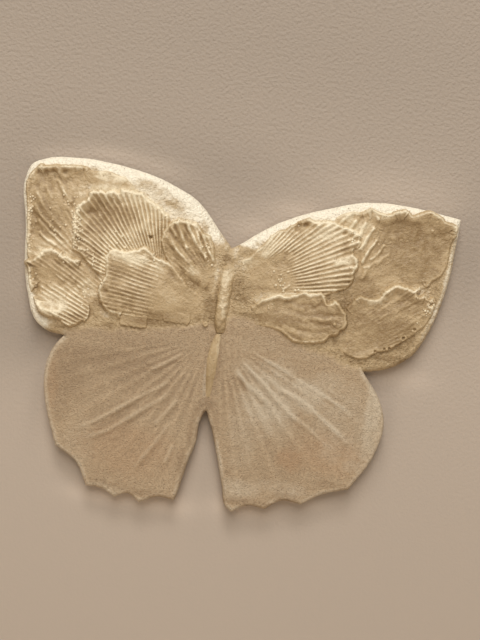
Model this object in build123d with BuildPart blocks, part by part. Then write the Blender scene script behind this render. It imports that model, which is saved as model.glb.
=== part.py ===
from build123d import *
import math
import os

# Butterfly wall ornament in fired clay: a cut-out slab that carries nine petals pressed in
# ribbed shells, two small pads, a pellet and the two rolls of the body. Millimetres.
# The origin is the mouth of the hanging hole on the flat back. +Z is up along the body,
# +X is right as seen from the front, and the front faces -Y.

wing_span = 280.0
wing_height = 214.0
slab_thickness = 10.0
upper_edge_radius = 5.0
lower_edge_bevel = 2.4
hanging_hole_radius = 4.0
hanging_hole_depth = 6.0

sheet_thickness = 2.0
lap_thickness = 1.2
pad_thickness = 0.9
overrun = 12.0

# Outline of the slab: x as a share of the span, z as a share of the height. Each wing runs a
# little way into its neighbours, so that the rounded edges meet in a crease as pressed clay does.
left_forewing_shares = [
    (0.025, 0.065), (0.0, 0.107), (-0.036, 0.157), (-0.086, 0.226), (-0.173, 0.279),
    (-0.276, 0.305), (-0.382, 0.309), (-0.451, 0.294), (-0.484, 0.27), (-0.494, 0.227),
    (-0.478, 0.089), (-0.467, -0.029), (-0.45, -0.118), (-0.42, -0.199), (-0.397, -0.218),
    (-0.352, -0.228), (-0.30, -0.236),
]
left_forewing_inner_shares = [(0.03, -0.19)]
right_forewing_top_shares = [
    (0.513, 0.294), (0.461, 0.302), (0.378, 0.311), (0.291, 0.303), (0.209, 0.269),
    (0.13, 0.226), (0.063, 0.171), (0.018, 0.123), (-0.002, 0.105), (-0.03, 0.078),
]
right_forewing_side_shares = [
    (0.29, -0.214), (0.342, -0.204), (0.395, -0.185), (0.441, -0.143), (0.482, -0.038),
    (0.504, 0.087), (0.511, 0.227), (0.513, 0.294),
]
right_forewing_inner_shares = [(-0.03, -0.19)]
left_hindwing_shares = [
    (-0.322, -0.18), (-0.352, -0.226), (-0.378, -0.285), (-0.383, -0.363), (-0.364, -0.463),
    (-0.334, -0.556),
]
left_scallop_shares = [
    [(-0.334, -0.556), (-0.283, -0.596), (-0.251, -0.663)],
    [(-0.251, -0.663), (-0.214, -0.666), (-0.182, -0.686)],
    [(-0.182, -0.686), (-0.156, -0.669), (-0.125, -0.69)],
    [(-0.125, -0.69), (-0.085, -0.666), (-0.045, -0.669)],
]
tail_shares = [
    (-0.045, -0.669), (-0.036, -0.61), (-0.026, -0.54), (-0.016, -0.486), (-0.013, -0.42),
    (-0.004, -0.39), (0.008, -0.42), (0.033, -0.506), (0.059, -0.612), (0.07, -0.66),
    (0.088, -0.678),
]
right_scallop_shares = [
    [(0.088, -0.678), (0.122, -0.652), (0.163, -0.655)],
    [(0.163, -0.655), (0.2, -0.622), (0.244, -0.625)],
    [(0.244, -0.625), (0.29, -0.585), (0.347, -0.56)],
]
right_hindwing_shares = [
    (0.347, -0.56), (0.394, -0.444), (0.405, -0.348), (0.389, -0.284), (0.342, -0.204),
    (0.322, -0.16),
]

# Flutes drawn in the soft clay of the lower wings. Each is a slim leaf-shaped groove that
# widens away from its hub below the thorax.
flute_length = 100.0
flute_start = 8.0
flute_depth = 0.7
flute_inner_radius = 2.0
flute_outer_radius = 8.0
flute_deepest_share = 0.55
flute_fans = {
    # hub as shares of span and height, first direction and step in degrees, number of flutes
    "left": {"hub_shares": (-0.015, -0.163), "first": 201.0, "step": 7.2, "count": 9},
    "right": {"hub_shares": (0.008, -0.165), "first": -80.0, "step": 7.4, "count": 9},
}

# Petals, bottom to top. Apex: shares of span and height. Turn: direction of the fan in degrees,
# anticlockwise from +X. Length, lip and rib: the reach of the fan, the height of its lip over
# the slab and the height of a rib at the lip. Fan: first and last rib in degrees off the turn.
# Curl: the power by which the face rises towards the lip. Outline: shares of the length, along
# the turn and across it.
petals = {
    "left_tip_petal": {
        "apex_shares": (-0.286, -0.041), "turn": 135.5, "length": 80.7, "lip": 4.2,
        "rib": 0.6, "fan": (-42.0, 42.0), "ribs": 16, "curl": 1.6,
        "outline_shares": [
            (0.36, 0.40), (0.47, 0.40), (0.62, 0.26), (0.81, 0.10), (0.94, 0.03), (1.0, -0.08),
            (0.98, -0.18), (0.89, -0.27), (0.79, -0.40), (0.68, -0.46), (0.56, -0.45),
            (0.45, -0.34), (0.32, -0.21), (0.2, -0.09), (0.08, 0.02), (0.09, 0.15), (0.21, 0.27),
        ],
        "over": [],
    },
    "left_outer_petal": {
        "apex_shares": (-0.156, -0.188), "turn": 158.5, "length": 92.9, "lip": 4.4,
        "rib": 0.8, "fan": (-26.0, 26.0), "ribs": 22, "curl": 1.0,
        "outline_shares": [
            (0.965, 0.0), (0.92, -0.07), (0.905, -0.16), (0.85, -0.21), (0.76, -0.19),
            (0.65, -0.2), (0.53, -0.21), (0.41, -0.19), (0.32, -0.1), (0.34, 0.03),
            (0.42, 0.13), (0.5, 0.2), (0.59, 0.22), (0.69, 0.23), (0.77, 0.21), (0.83, 0.16),
            (0.88, 0.14), (0.94, 0.07),
        ],
        "over": ["left_tip_petal"],
    },
    "left_middle_petal": {
        "apex_shares": (-0.143, -0.073), "turn": 121.5, "length": 77.5, "lip": 4.8,
        "rib": 0.8, "fan": (-32.0, 42.0), "ribs": 27, "curl": 1.0,
        "outline_shares": [
            (0.84, 0.42), (0.97, 0.32), (1.02, 0.18), (0.99, 0.09), (0.97, 0.02),
            (0.93, -0.08), (0.85, -0.16), (0.75, -0.22), (0.65, -0.27), (0.54, -0.31),
            (0.4, -0.29), (0.27, -0.21), (0.2, -0.07), (0.21, 0.1), (0.3, 0.26), (0.41, 0.39),
            (0.53, 0.46), (0.68, 0.49),
        ],
        "over": ["left_tip_petal", "left_outer_petal"],
    },
    "left_shoulder_petal": {
        "apex_shares": (-0.015, -0.085), "turn": 118.5, "length": 62.8, "lip": 4.8,
        "rib": 1.2, "fan": (-22.0, 32.0), "ribs": 11, "curl": 1.0,
        "outline_shares": [
            (0.86, 0.27), (0.96, 0.19), (1.0, 0.05), (0.92, -0.07), (0.79, -0.14), (0.62, -0.18),
            (0.45, -0.16), (0.28, -0.1), (0.18, 0.0), (0.2, 0.12), (0.3, 0.22), (0.46, 0.31),
            (0.66, 0.33),
        ],
        "over": ["left_middle_petal"],
    },
    "left_inner_petal": {
        "apex_shares": (-0.024, -0.08), "turn": 169.5, "length": 73.0, "lip": 5.2,
        "rib": 0.8, "fan": (-28.0, 28.0), "ribs": 23, "curl": 1.0,
        "outline_shares": [
            (0.96, 0.1), (0.97, -0.06), (0.97, -0.18), (0.87, -0.25), (0.77, -0.28),
            (0.69, -0.32), (0.59, -0.28), (0.46, -0.24), (0.34, -0.17), (0.22, -0.11),
            (0.11, -0.08), (0.03, -0.02), (0.05, 0.07), (0.16, 0.15), (0.32, 0.19),
            (0.49, 0.25), (0.67, 0.29), (0.83, 0.28), (0.94, 0.22),
        ],
        "over": ["left_middle_petal", "left_outer_petal", "left_shoulder_petal"],
        "pads": ["left_outer_tab", "left_inner_tab"],
    },
    "right_tip_petal": {
        "apex_shares": (0.271, 0.032), "turn": 46.5, "length": 81.4, "lip": 4.2,
        "rib": 0.4, "fan": (-38.0, 42.0), "ribs": 15, "curl": 1.6,
        "outline_shares": [
            (0.32, 0.46), (0.43, 0.41), (0.53, 0.36), (0.63, 0.27), (0.74, 0.2), (0.78, 0.13),
            (0.87, 0.09), (0.93, 0.0), (0.95, -0.07), (0.96, -0.15), (0.87, -0.24), (0.75, -0.32),
            (0.62, -0.36), (0.5, -0.4), (0.35, -0.38), (0.2, -0.32), (0.06, -0.24),
            (-0.03, -0.11), (0.0, 0.03), (0.12, 0.18), (0.22, 0.33),
        ],
        "over": [],
    },
    "right_outer_petal": {
        "apex_shares": (0.241, -0.11), "turn": 30.5, "length": 75.0, "lip": 4.2,
        "rib": 0.45, "fan": (-32.0, 26.0), "ribs": 20, "curl": 1.0,
        "outline_shares": [
            (0.3, 0.16), (0.38, 0.18), (0.46, 0.14), (0.54, 0.13), (0.61, 0.15), (0.7, 0.17),
            (0.77, 0.14), (0.84, 0.09), (0.92, 0.03), (0.97, -0.06), (0.94, -0.15), (0.83, -0.22),
            (0.7, -0.26), (0.57, -0.3), (0.43, -0.31), (0.32, -0.3), (0.21, -0.28), (0.1, -0.21),
            (0.03, -0.1), (0.07, 0.02), (0.18, 0.11),
        ],
        "over": ["right_tip_petal"],
    },
    "right_inner_petal": {
        "apex_shares": (0.056, -0.01), "turn": 36.5, "length": 73.7, "lip": 4.8,
        "rib": 0.8, "fan": (-38.0, 40.0), "ribs": 27, "curl": 1.0,
        "outline_shares": [
            (0.03, 0.26), (0.18, 0.3), (0.35, 0.34), (0.51, 0.36), (0.67, 0.33), (0.8, 0.25),
            (0.93, 0.15), (1.01, 0.06), (1.05, -0.04), (1.02, -0.13), (0.97, -0.21),
            (0.89, -0.32), (0.78, -0.4), (0.63, -0.43), (0.45, -0.41), (0.23, -0.32),
            (0.03, -0.2), (-0.1, -0.1), (-0.14, 0.01), (-0.09, 0.14),
        ],
        "over": ["right_tip_petal"],
    },
    "right_small_petal": {
        "apex_shares": (0.044, -0.055), "turn": -3.5, "length": 66.0, "lip": 5.2,
        "rib": 1.1, "fan": (-28.0, 28.0), "ribs": 8, "curl": 1.0,
        "outline_shares": [
            (0.12, 0.04), (0.22, 0.12), (0.36, 0.16), (0.52, 0.21), (0.7, 0.25), (0.82, 0.21),
            (0.92, 0.2), (0.99, 0.12), (1.0, 0.01), (0.94, -0.1), (0.82, -0.19), (0.68, -0.24),
            (0.52, -0.25), (0.37, -0.19), (0.22, -0.13), (0.12, -0.05),
        ],
        "over": ["right_inner_petal", "right_outer_petal"],
    },
}
fan_station_shares = [0.08, 0.66, 1.08]
sheet_reach_share = 1.3
rib_camber_share = 0.25

# Flat pads that show under the left inner petal: centre as shares of span and height.
pads = {
    "left_outer_tab": {"centre_shares": (-0.198, -0.15), "size": (18.5, 9.5), "corner": 2.6},
    "left_inner_tab": {"centre_shares": (-0.101, -0.124), "size": (18.0, 7.6), "corner": 2.2},
}

# Pellet of clay beside the thorax, a flattened bead: stations of its section, as shares of its
# radius out from its middle and of its height over the slab.
pellet_radius = 2.1
pellet_height = 2.4
pellet_centre_shares = (-0.0335, -0.131)
pellet_shares = [(0.0, 0.0), (0.86, 0.0), (1.0, 0.4), (0.8, 0.8), (0.42, 1.0), (0.0, 1.0)]

# The body: two tapered rolls of clay, laid end to end up the slab. Stations, from the lower
# end: share of the length and share of the largest width. Crest: height of a section as a
# share of half its width.
roll_crest_share = 0.96
thorax_length = 46.5
thorax_width = 9.0
thorax_end_shares = (0.003, -0.152)
thorax_shares = [
    (0.0, 0.5), (0.04, 0.78), (0.12, 0.94), (0.22, 1.0), (0.34, 0.94), (0.48, 0.84), (0.75, 0.72),
    (0.95, 0.68), (1.0, 0.5),
]
abdomen_length = 41.0
abdomen_width = 6.2
abdomen_shares = [
    (0.0, 0.3), (0.06, 0.46), (0.22, 0.72), (0.4, 0.95), (0.55, 1.0), (0.7, 0.94), (0.88, 0.7),
    (1.0, 0.5),
]


def on_slab(shares):
    """Point on the outline plane for a share of the span and a share of the height."""
    return (shares[0] * wing_span, shares[1] * wing_height)


def petal_point(petal, shares):
    """Point on the outline plane for shares of a petal's length, along its turn and across."""
    apex_x, apex_z = on_slab(petal["apex_shares"])
    turn = math.radians(petal["turn"])
    along = shares[0] * petal["length"]
    across = shares[1] * petal["length"]
    x = apex_x + along * math.cos(turn) - across * math.sin(turn)
    z = apex_z + along * math.sin(turn) + across * math.cos(turn)
    return (x, z)


def petal_face(petal, height):
    """Outline of a petal at a height over the front of the slab."""
    with BuildSketch(Plane.XZ.offset(slab_thickness + height)) as face:
        with BuildLine():
            Spline(*[petal_point(petal, shares) for shares in petal["outline_shares"]], periodic=True)
        make_face()
    return face.sketch


def fan_section(petal, station_share):
    """Cut across the fan of ribs, square to its turn, at a share of its length."""
    apex_x, apex_z = on_slab(petal["apex_shares"])
    turn = math.radians(petal["turn"])
    reach = station_share * petal["length"]
    origin = (apex_x + reach * math.cos(turn), -slab_thickness, apex_z + reach * math.sin(turn))
    plane = Plane(
        origin=origin,
        x_dir=(-math.sin(turn), 0, math.cos(turn)),
        z_dir=(math.cos(turn), 0, math.sin(turn)),
    )
    first, last = petal["fan"]
    middle = (first + last) / 2
    half = (last - first) / 2
    valley_rise = petal["lip"] * station_share ** petal["curl"]
    rib_rise = petal["rib"] * station_share

    def valley(direction):
        off_centre_share = (direction - middle) / half
        drop = rib_camber_share * off_centre_share**2
        return (reach * math.tan(math.radians(direction)), valley_rise * (1 - drop))

    directions = [first + (last - first) * rib / petal["ribs"] for rib in range(petal["ribs"] + 1)]
    valleys = [valley(direction) for direction in directions]
    wave = [valleys[0]]
    for start, end in zip(valleys, valleys[1:]):
        wave.append(((start[0] + end[0]) / 2, (start[1] + end[1]) / 2 + rib_rise))
        wave.append(end)
    with BuildSketch(plane) as section:
        with BuildLine():
            Polyline(*wave, (wave[-1][0], -sheet_thickness), (wave[0][0], -sheet_thickness), close=True)
        make_face()
    return section.sketch


def wing_blank(runs, edge_radius=None, edge_bevel=None):
    """Blank cut from the clay, its front edge rounded or bevelled along the curved runs."""
    with BuildPart() as blank:
        with BuildSketch(Plane.XZ):
            with BuildLine():
                for kind, shares in runs:
                    points = [on_slab(pair) for pair in shares]
                    if kind == "spline":
                        Spline(*points)
                    elif kind == "arc":
                        ThreePointArc(*points)
                    else:
                        Polyline(*points)
            make_face()
        extrude(amount=slab_thickness)
        front_edges = blank.edges().group_by(Axis.Y)[0].filter_by(GeomType.LINE, reverse=True)
        if edge_radius:
            fillet(front_edges, radius=edge_radius)
        if edge_bevel:
            chamfer(front_edges, length=edge_bevel)
    return blank.part


os.makedirs("parts", exist_ok=True)

left_forewing = wing_blank(
    [
        ("spline", left_forewing_shares),
        ("line", [left_forewing_shares[-1]] + left_forewing_inner_shares + [left_forewing_shares[0]]),
    ],
    edge_radius=upper_edge_radius,
)
right_forewing = wing_blank(
    [
        ("spline", right_forewing_side_shares),
        ("spline", right_forewing_top_shares),
        (
            "line",
            [right_forewing_top_shares[-1]] + right_forewing_inner_shares + [right_forewing_side_shares[0]],
        ),
    ],
    edge_radius=upper_edge_radius,
)
hindwings = wing_blank(
    [("spline", left_hindwing_shares)]
    + [("arc", scallop) for scallop in left_scallop_shares]
    + [("spline", tail_shares)]
    + [("arc", scallop) for scallop in right_scallop_shares]
    + [
        ("spline", right_hindwing_shares),
        ("line", [right_hindwing_shares[-1], left_hindwing_shares[0]]),
    ],
    edge_bevel=lower_edge_bevel,
)

# The slab: three wing blanks joined as one sheet, fluted below and bored at the back.
with BuildPart() as wing_slab:
    add(hindwings)
    add(left_forewing)
    add(right_forewing)
    for fan in flute_fans.values():
        hub_x, hub_z = on_slab(fan["hub_shares"])
        for number in range(fan["count"]):
            turn = math.radians(fan["first"] + number * fan["step"])
            along = Vector(math.cos(turn), 0, math.sin(turn))
            start = Vector(hub_x, -slab_thickness, hub_z) + along * flute_start
            flute_plane = Plane(origin=start, x_dir=along, z_dir=along.cross(Vector(0, -1, 0)))
            with BuildSketch(flute_plane):
                with BuildLine():
                    Spline(
                        (0, 0),
                        (flute_length * flute_deepest_share, -flute_depth),
                        (flute_length, 0),
                    )
                    Polyline(
                        (flute_length, 0),
                        (flute_length, flute_outer_radius),
                        (0, flute_inner_radius),
                        (0, 0),
                    )
                make_face()
            inner_end = flute_plane.from_local_coords((0, flute_inner_radius, 0))
            outer_end = flute_plane.from_local_coords((flute_length, flute_outer_radius, 0))
            revolve(axis=Axis(inner_end, outer_end - inner_end), mode=Mode.SUBTRACT)
    with BuildSketch(Plane.XZ):
        Circle(hanging_hole_radius)
    extrude(amount=hanging_hole_depth, mode=Mode.SUBTRACT)
wing_slab.part.label = "wing_slab"
export_step(wing_slab.part, "parts/wing_slab.step")


def clay_roll(lower_end, length, width, station_shares):
    """Tapered roll of clay pressed flat on to the slab, lofted through bowed sections."""
    with BuildPart() as roll:
        for station_share, swell_share in station_shares:
            half = swell_share * width / 2
            origin = (lower_end[0], -slab_thickness, lower_end[1] + station_share * length)
            with BuildSketch(Plane(origin=origin, x_dir=(-1, 0, 0), z_dir=(0, 0, 1))):
                with BuildLine():
                    ThreePointArc((-half, 0), (0, half * roll_crest_share), (half, 0))
                    Line((half, 0), (-half, 0))
                make_face()
        loft(ruled=True)
    return roll.part


thorax_end = on_slab(thorax_end_shares)
thorax_roll = clay_roll(thorax_end, thorax_length, thorax_width, thorax_shares)
abdomen_end = (thorax_end[0], thorax_end[1] - abdomen_length)
abdomen_roll = clay_roll(abdomen_end, abdomen_length, abdomen_width, abdomen_shares)
for roll, roll_name in ((thorax_roll, "thorax_roll"), (abdomen_roll, "abdomen_roll")):
    roll.label = roll_name
    export_step(roll, "parts/" + roll_name + ".step")


def tab_sketch(tab):
    """Outline of a flat pad on the front of the slab."""
    centre = Location(on_slab(tab["centre_shares"]) + (0,))
    with BuildSketch(Plane.XZ.offset(slab_thickness)) as outline:
        with Locations(centre):
            RectangleRounded(*tab["size"], tab["corner"])
    return outline.sketch


for tab_name, tab in pads.items():
    with BuildPart() as pad:
        extrude(tab_sketch(tab), amount=pad_thickness)
    pad.part.label = tab_name
    export_step(pad.part, "parts/" + tab_name + ".step")

with BuildPart() as clay_pellet:
    pellet_x, pellet_z = on_slab(pellet_centre_shares)
    pellet_seat = Vector(pellet_x, -slab_thickness, pellet_z)
    with BuildSketch(Plane(origin=pellet_seat, x_dir=(1, 0, 0), z_dir=(0, 0, 1))):
        with BuildLine():
            Polyline(*[(out * pellet_radius, -up * pellet_height) for out, up in pellet_shares], close=True)
        make_face()
    revolve(axis=Axis(pellet_seat, (0, -1, 0)))
clay_pellet.part.label = "clay_pellet"
export_step(clay_pellet.part, "parts/clay_pellet.step")

for petal_name, petal in petals.items():
    covers = [other for other in petals.values() if petal_name in other["over"]]
    with BuildPart() as ribbed:
        stations = fan_station_shares if petal["curl"] > 1 else fan_station_shares[::2]
        loft([fan_section(petal, share) for share in stations], ruled=True)
        with BuildSketch(Plane.XZ.offset(slab_thickness - sheet_thickness)):
            with Locations(Location(on_slab(petal["apex_shares"]) + (0,))):
                Circle(petal["length"] * sheet_reach_share)
        extrude(amount=sheet_thickness * 2)
        extrude(petal_face(petal, -sheet_thickness), amount=overrun, mode=Mode.INTERSECT)
        for other in covers:
            extrude(petal_face(other, lap_thickness), amount=overrun, mode=Mode.SUBTRACT)
        for other_name in petal["over"]:
            lower = petals[other_name]
            extrude(
                petal_face(lower, -sheet_thickness),
                amount=sheet_thickness + lap_thickness,
                mode=Mode.SUBTRACT,
            )
        for tab_name in petal.get("pads", []):
            extrude(tab_sketch(pads[tab_name]), amount=pad_thickness, mode=Mode.SUBTRACT)
        add(thorax_roll, mode=Mode.SUBTRACT)
        add(wing_slab.part, mode=Mode.SUBTRACT)
    ribbed.part.label = petal_name
    export_step(ribbed.part, "parts/" + petal_name + ".step")
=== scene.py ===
import math

import bmesh
import bpy
import numpy as np
from mathutils import Matrix, Vector, noise
from mathutils.geometry import delaunay_2d_cdt
from mathutils.kdtree import KDTree


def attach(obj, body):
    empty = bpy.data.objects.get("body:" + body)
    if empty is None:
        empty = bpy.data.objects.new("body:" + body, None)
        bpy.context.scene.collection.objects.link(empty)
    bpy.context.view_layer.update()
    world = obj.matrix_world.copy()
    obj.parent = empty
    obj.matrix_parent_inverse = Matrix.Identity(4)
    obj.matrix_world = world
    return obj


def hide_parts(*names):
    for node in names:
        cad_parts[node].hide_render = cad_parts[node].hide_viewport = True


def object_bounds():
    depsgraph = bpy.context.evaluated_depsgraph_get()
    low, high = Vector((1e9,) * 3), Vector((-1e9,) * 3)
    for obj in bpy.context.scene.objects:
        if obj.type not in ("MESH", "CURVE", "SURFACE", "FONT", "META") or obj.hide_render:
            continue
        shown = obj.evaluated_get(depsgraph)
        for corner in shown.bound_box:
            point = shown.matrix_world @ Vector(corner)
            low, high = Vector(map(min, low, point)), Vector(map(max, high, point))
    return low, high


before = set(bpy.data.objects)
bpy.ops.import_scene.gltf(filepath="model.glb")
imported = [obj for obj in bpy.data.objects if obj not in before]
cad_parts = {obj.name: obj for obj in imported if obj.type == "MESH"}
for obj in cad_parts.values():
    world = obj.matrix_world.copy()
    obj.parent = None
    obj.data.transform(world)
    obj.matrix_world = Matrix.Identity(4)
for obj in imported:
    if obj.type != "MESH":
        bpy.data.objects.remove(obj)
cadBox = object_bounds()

mm = 0.001
wingSpan, wingHeight = 280.0, 214.0   # mm, what the shares below are shares of
slabFace = 10.0                       # mm from the wall to the face of the slab
footDepth = slabFace - 0.6            # mm from the wall to the foot of all that lies on the slab

# the camera hangs square to the wall and is rolled, because the plaque hangs a little askew
viewpoint = {
    "roll": 8.5, "centre": (12.06, -22.17), "seenHeight": 410.0, "distance": 560.0, "sensor": 36.0,
    "nearest": 0.01, "farthest": 20.0,
}


def addObject(name, data):
    made = bpy.data.objects.new(name, data)
    bpy.context.scene.collection.objects.link(made)
    return made


def addMesh(name, verts, faces):
    mesh = bpy.data.meshes.new(name)
    mesh.from_pydata([tuple(v) for v in np.array(verts, float) * mm], [], faces)
    return addObject(name, mesh)


def placeCamera(values):
    data = bpy.data.cameras.new("camera")
    camera = addObject("camera", data)
    roll = math.radians(values["roll"])
    across = Vector((math.cos(roll), 0, math.sin(roll)))
    up = Vector((-math.sin(roll), 0, math.cos(roll)))
    camera.rotation_euler = Matrix((across, up, across.cross(up))).transposed().to_euler()
    x, z = values["centre"]
    camera.location = Vector((x, -slabFace - values["distance"], z)) * mm
    data.sensor_width = values["sensor"]
    data.lens = values["sensor"] * values["distance"] / values["seenHeight"]
    data.clip_start, data.clip_end = values["nearest"], values["farthest"]
    bpy.context.scene.camera = camera


placeCamera(viewpoint)
print("camera placed")


# helpers for lines and flat blanks, in mm on the plane of the slab


def onSlab(shares):
    return np.array(shares, float) * (wingSpan, wingHeight)


def evenSteps(line, step):
    run = np.concatenate([[0], np.cumsum(np.linalg.norm(np.diff(line, axis=0), axis=1))])
    stops = np.linspace(0, run[-1], max(2, int(round(run[-1] / step)) + 1))
    return np.column_stack([np.interp(stops, run, line[:, 0]), np.interp(stops, run, line[:, 1])])


def smoothLine(points, step, closed=False):
    # a curve through all the points, at even steps
    pts = np.array(points, float)
    if closed:
        pts = np.vstack([pts, pts[:1]])
    run = np.linalg.norm(np.diff(pts, axis=0), axis=1)
    slope = np.diff(pts, axis=0) / run[:, None]
    before = np.vstack([slope[-1:] if closed else slope[:1], slope])
    after = np.vstack([slope, slope[:1] if closed else slope[-1:]])
    runBefore = np.concatenate([run[-1:] if closed else run[:1], run])[:, None]
    runAfter = np.concatenate([run, run[:1] if closed else run[-1:]])[:, None]
    lean = (before * runAfter + after * runBefore) / (runBefore + runAfter)
    parts = []
    for i, reach in enumerate(run):
        t = np.linspace(0, 1, 24, endpoint=False)[:, None]
        parts.append(
            (2 * t**3 - 3 * t**2 + 1) * pts[i] + (t**3 - 2 * t**2 + t) * reach * lean[i]
            + (3 * t**2 - 2 * t**3) * pts[i + 1] + (t**3 - t**2) * reach * lean[i + 1]
        )
    line = evenSteps(np.vstack(parts + [pts[-1:]]), step)
    return line[:-1] if closed else line


def cutAtCrossing(first, second):
    # the first line up to where it crosses the second, and the second from there on
    a, b = first[:-1], second[:-1]
    da, db = np.diff(first, axis=0), np.diff(second, axis=0)
    gap = b[None] - a[:, None]
    cross = da[:, None, 0] * db[None, :, 1] - da[:, None, 1] * db[None, :, 0]
    cross[np.abs(cross) < 1e-12] = 1e-12
    s = (gap[..., 0] * db[None, :, 1] - gap[..., 1] * db[None, :, 0]) / cross
    t = (gap[..., 0] * da[:, None, 1] - gap[..., 1] * da[:, None, 0]) / cross
    i, j = np.argwhere((s >= 0) & (s <= 1) & (t >= 0) & (t <= 1))[0]
    meeting = a[i] + da[i] * s[i, j]
    return np.vstack([first[: i + 1], meeting]), second[j + 1 :]


def loopNormals(loop, reach=2):
    # outward, for a loop that runs anticlockwise
    lean = np.roll(loop, -reach, axis=0) - np.roll(loop, reach, axis=0)
    lean /= np.maximum(np.linalg.norm(lean, axis=1), 1e-9)[:, None]
    return np.column_stack([lean[:, 1], -lean[:, 0]])


def anticlockwise(loop):
    x, y = loop[:, 0], loop[:, 1]
    area = np.sum(x * np.roll(y, -1) - y * np.roll(x, -1))
    return loop if area > 0 else loop[::-1]


def rough(points, size, seed):
    # even, repeatable unevenness between -1 and 1 at points on the slab
    return np.array([noise.noise(Vector((x / size, y / size, seed * 7.31))) for x, y in points])


def insideLoop(points, loop):
    x, y = points[:, 0], points[:, 1]
    inside = np.zeros(len(points), bool)
    for (x0, y0), (x1, y1) in zip(loop, np.roll(loop, -1, axis=0)):
        hit = np.nonzero((y0 > y) != (y1 > y))[0]
        if len(hit):
            inside[hit] ^= x[hit] < (x1 - x0) * (y[hit] - y0) / (y1 - y0) + x0
    return inside


def nearest(points, line):
    # how far each point is from a line, and from which of its points
    tree = KDTree(len(line))
    for i, (x, y) in enumerate(line):
        tree.insert((x, y, 0), i)
    tree.balance()
    found = [tree.find((x, y, 0)) for x, y in points]
    return np.array([f[2] for f in found]), np.array([f[1] for f in found])


def signedDepth(points, loop):
    # how far inside a loop each point lies, less than zero outside it
    far, _ = nearest(points, loop)
    return np.where(insideLoop(points, loop), far, -far)


def ringed(points, *loops):
    # triangles between points, with each loop of them kept as edges
    return delaunay_2d_cdt([Vector(p) for p in points], [], list(loops), 1, 1e-7, True)


def fillLoop(loop, spacing, rings):
    # an even sheet of triangles inside a loop, with closer rows along its edge
    normals = loopNormals(loop)
    rows = [loop]
    for depth in rings:
        every = max(1, int(round(depth / 2.5 / spacing)))
        row = (loop - normals * depth)[::every]
        far, _ = nearest(row, loop)
        rows.append(row[(far > depth * 0.93) & insideLoop(row, loop)])
    low, high = loop.min(axis=0), loop.max(axis=0)
    xs, ys = np.arange(low[0], high[0], spacing), np.arange(low[1], high[1], spacing * 0.866)
    grid = np.array([(x + spacing / 2 * (k % 2), y) for k, y in enumerate(ys) for x in xs])
    grid = grid[insideLoop(grid, loop)]
    far, _ = nearest(grid, loop)
    rows.append(grid[far > (rings[-1] if rings else 0) + spacing * 0.6])
    points = np.vstack(rows)
    made = ringed(points, list(range(len(loop))))
    verts = np.array([tuple(v) for v in made[0]])
    place = {}
    for new, olds in enumerate(made[3]):
        for old in olds:
            place[old] = new
    edge = [place[i] for i in range(len(loop))]
    faces = np.array([list(f) for f in made[2]])
    return verts, faces[insideLoop(verts[faces].mean(axis=1), loop)].tolist(), edge


def storeValue(mesh, name, values):
    layer = mesh.attributes.new(name, "FLOAT", "POINT")
    layer.data.foreach_set("value", np.asarray(values, np.float32))


def clayBlank(name, loop, spacing, rings, feet, back=None):
    # a closed flat blank: front sheet on the slab's face, a wall through the feet, and a back
    # each foot is a depth from the wall and how far it lies inside the outline
    verts, faces, edge = fillLoop(loop, spacing, rings)
    count, around = len(verts), len(edge)
    rows = [np.column_stack([verts[:, 0], np.full(count, -slabFace), verts[:, 1]])]
    source = [np.arange(count)]
    upper = edge
    for number, (depth, inset) in enumerate(feet):
        ring = loop - loopNormals(loop, 6) * inset
        rows.append(np.column_stack([ring[:, 0], np.full(around, -depth), ring[:, 1]]))
        source.append(np.array(edge))
        first = count + number * around
        lower = [first + i for i in range(around)]
        for i in range(around):
            j = (i + 1) % around
            faces.append([upper[i], lower[i], lower[j], upper[j]])
        upper = lower
    if back is None:
        faces.append(upper[::-1])
    else:
        backVerts, backFaces = back(ring, upper[0])
        rows.append(backVerts)
        source.append(np.full(len(backVerts), edge[0]))
        faces.extend(backFaces)
    blank = addMesh(name, np.vstack(rows), faces)
    source = np.concatenate(source)
    far, which = nearest(verts, loop)
    storeValue(blank.data, "rim", far[source] * mm)
    storeValue(blank.data, "sheet", np.arange(len(source)) < count)
    return blank, verts, which, source


# helpers for node trees: a node's output takes plain arithmetic, and each sign makes a Math node


class Signal:
    def __init__(self, socket):
        self.socket = socket

    def __add__(self, other):
        return maths("ADD", self, other)

    def __sub__(self, other):
        return maths("SUBTRACT", self, other)

    def __rsub__(self, other):
        return maths("SUBTRACT", other, self)

    def __mul__(self, other):
        return maths("MULTIPLY", self, other)

    def __truediv__(self, other):
        return maths("DIVIDE", self, other)

    def __rtruediv__(self, other):
        return maths("DIVIDE", other, self)


class Made:
    # a node whose outputs are had by name or by number
    def __init__(self, node):
        self.node = node

    def __getitem__(self, key):
        return Signal(self.node.outputs[key])


def link(signal, slot):
    slot.id_data.links.new(signal.socket, slot)


def put(tree, kind, feeds=(), **settings):
    node = tree.nodes.new(kind)
    for key, value in settings.items():
        setattr(node, key, value)
    for slot, feed in feeds.items() if isinstance(feeds, dict) else enumerate(feeds):
        if isinstance(feed, Signal):
            link(feed, node.inputs[slot])
        elif feed is not None:
            node.inputs[slot].default_value = feed
    return Made(node)


def treeOf(feeds):
    return next(feed.socket.id_data for feed in feeds if isinstance(feed, Signal))


def maths(operation, *feeds, clamp=False):
    return put(treeOf(feeds), "ShaderNodeMath", feeds, operation=operation, use_clamp=clamp)[0]


def vectorMaths(operation, *feeds):
    made = put(treeOf(feeds), "ShaderNodeVectorMath", feeds, operation=operation)
    return made["Value" if operation in ("DOT_PRODUCT", "LENGTH", "DISTANCE") else "Vector"]


def spot(x, y, z):
    return put(treeOf((x, y, z)), "ShaderNodeCombineXYZ", (x, y, z))[0]


def partsOf(where):
    made = put(treeOf((where,)), "ShaderNodeSeparateXYZ", (where,))
    return made[0], made[1], made[2]


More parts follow.
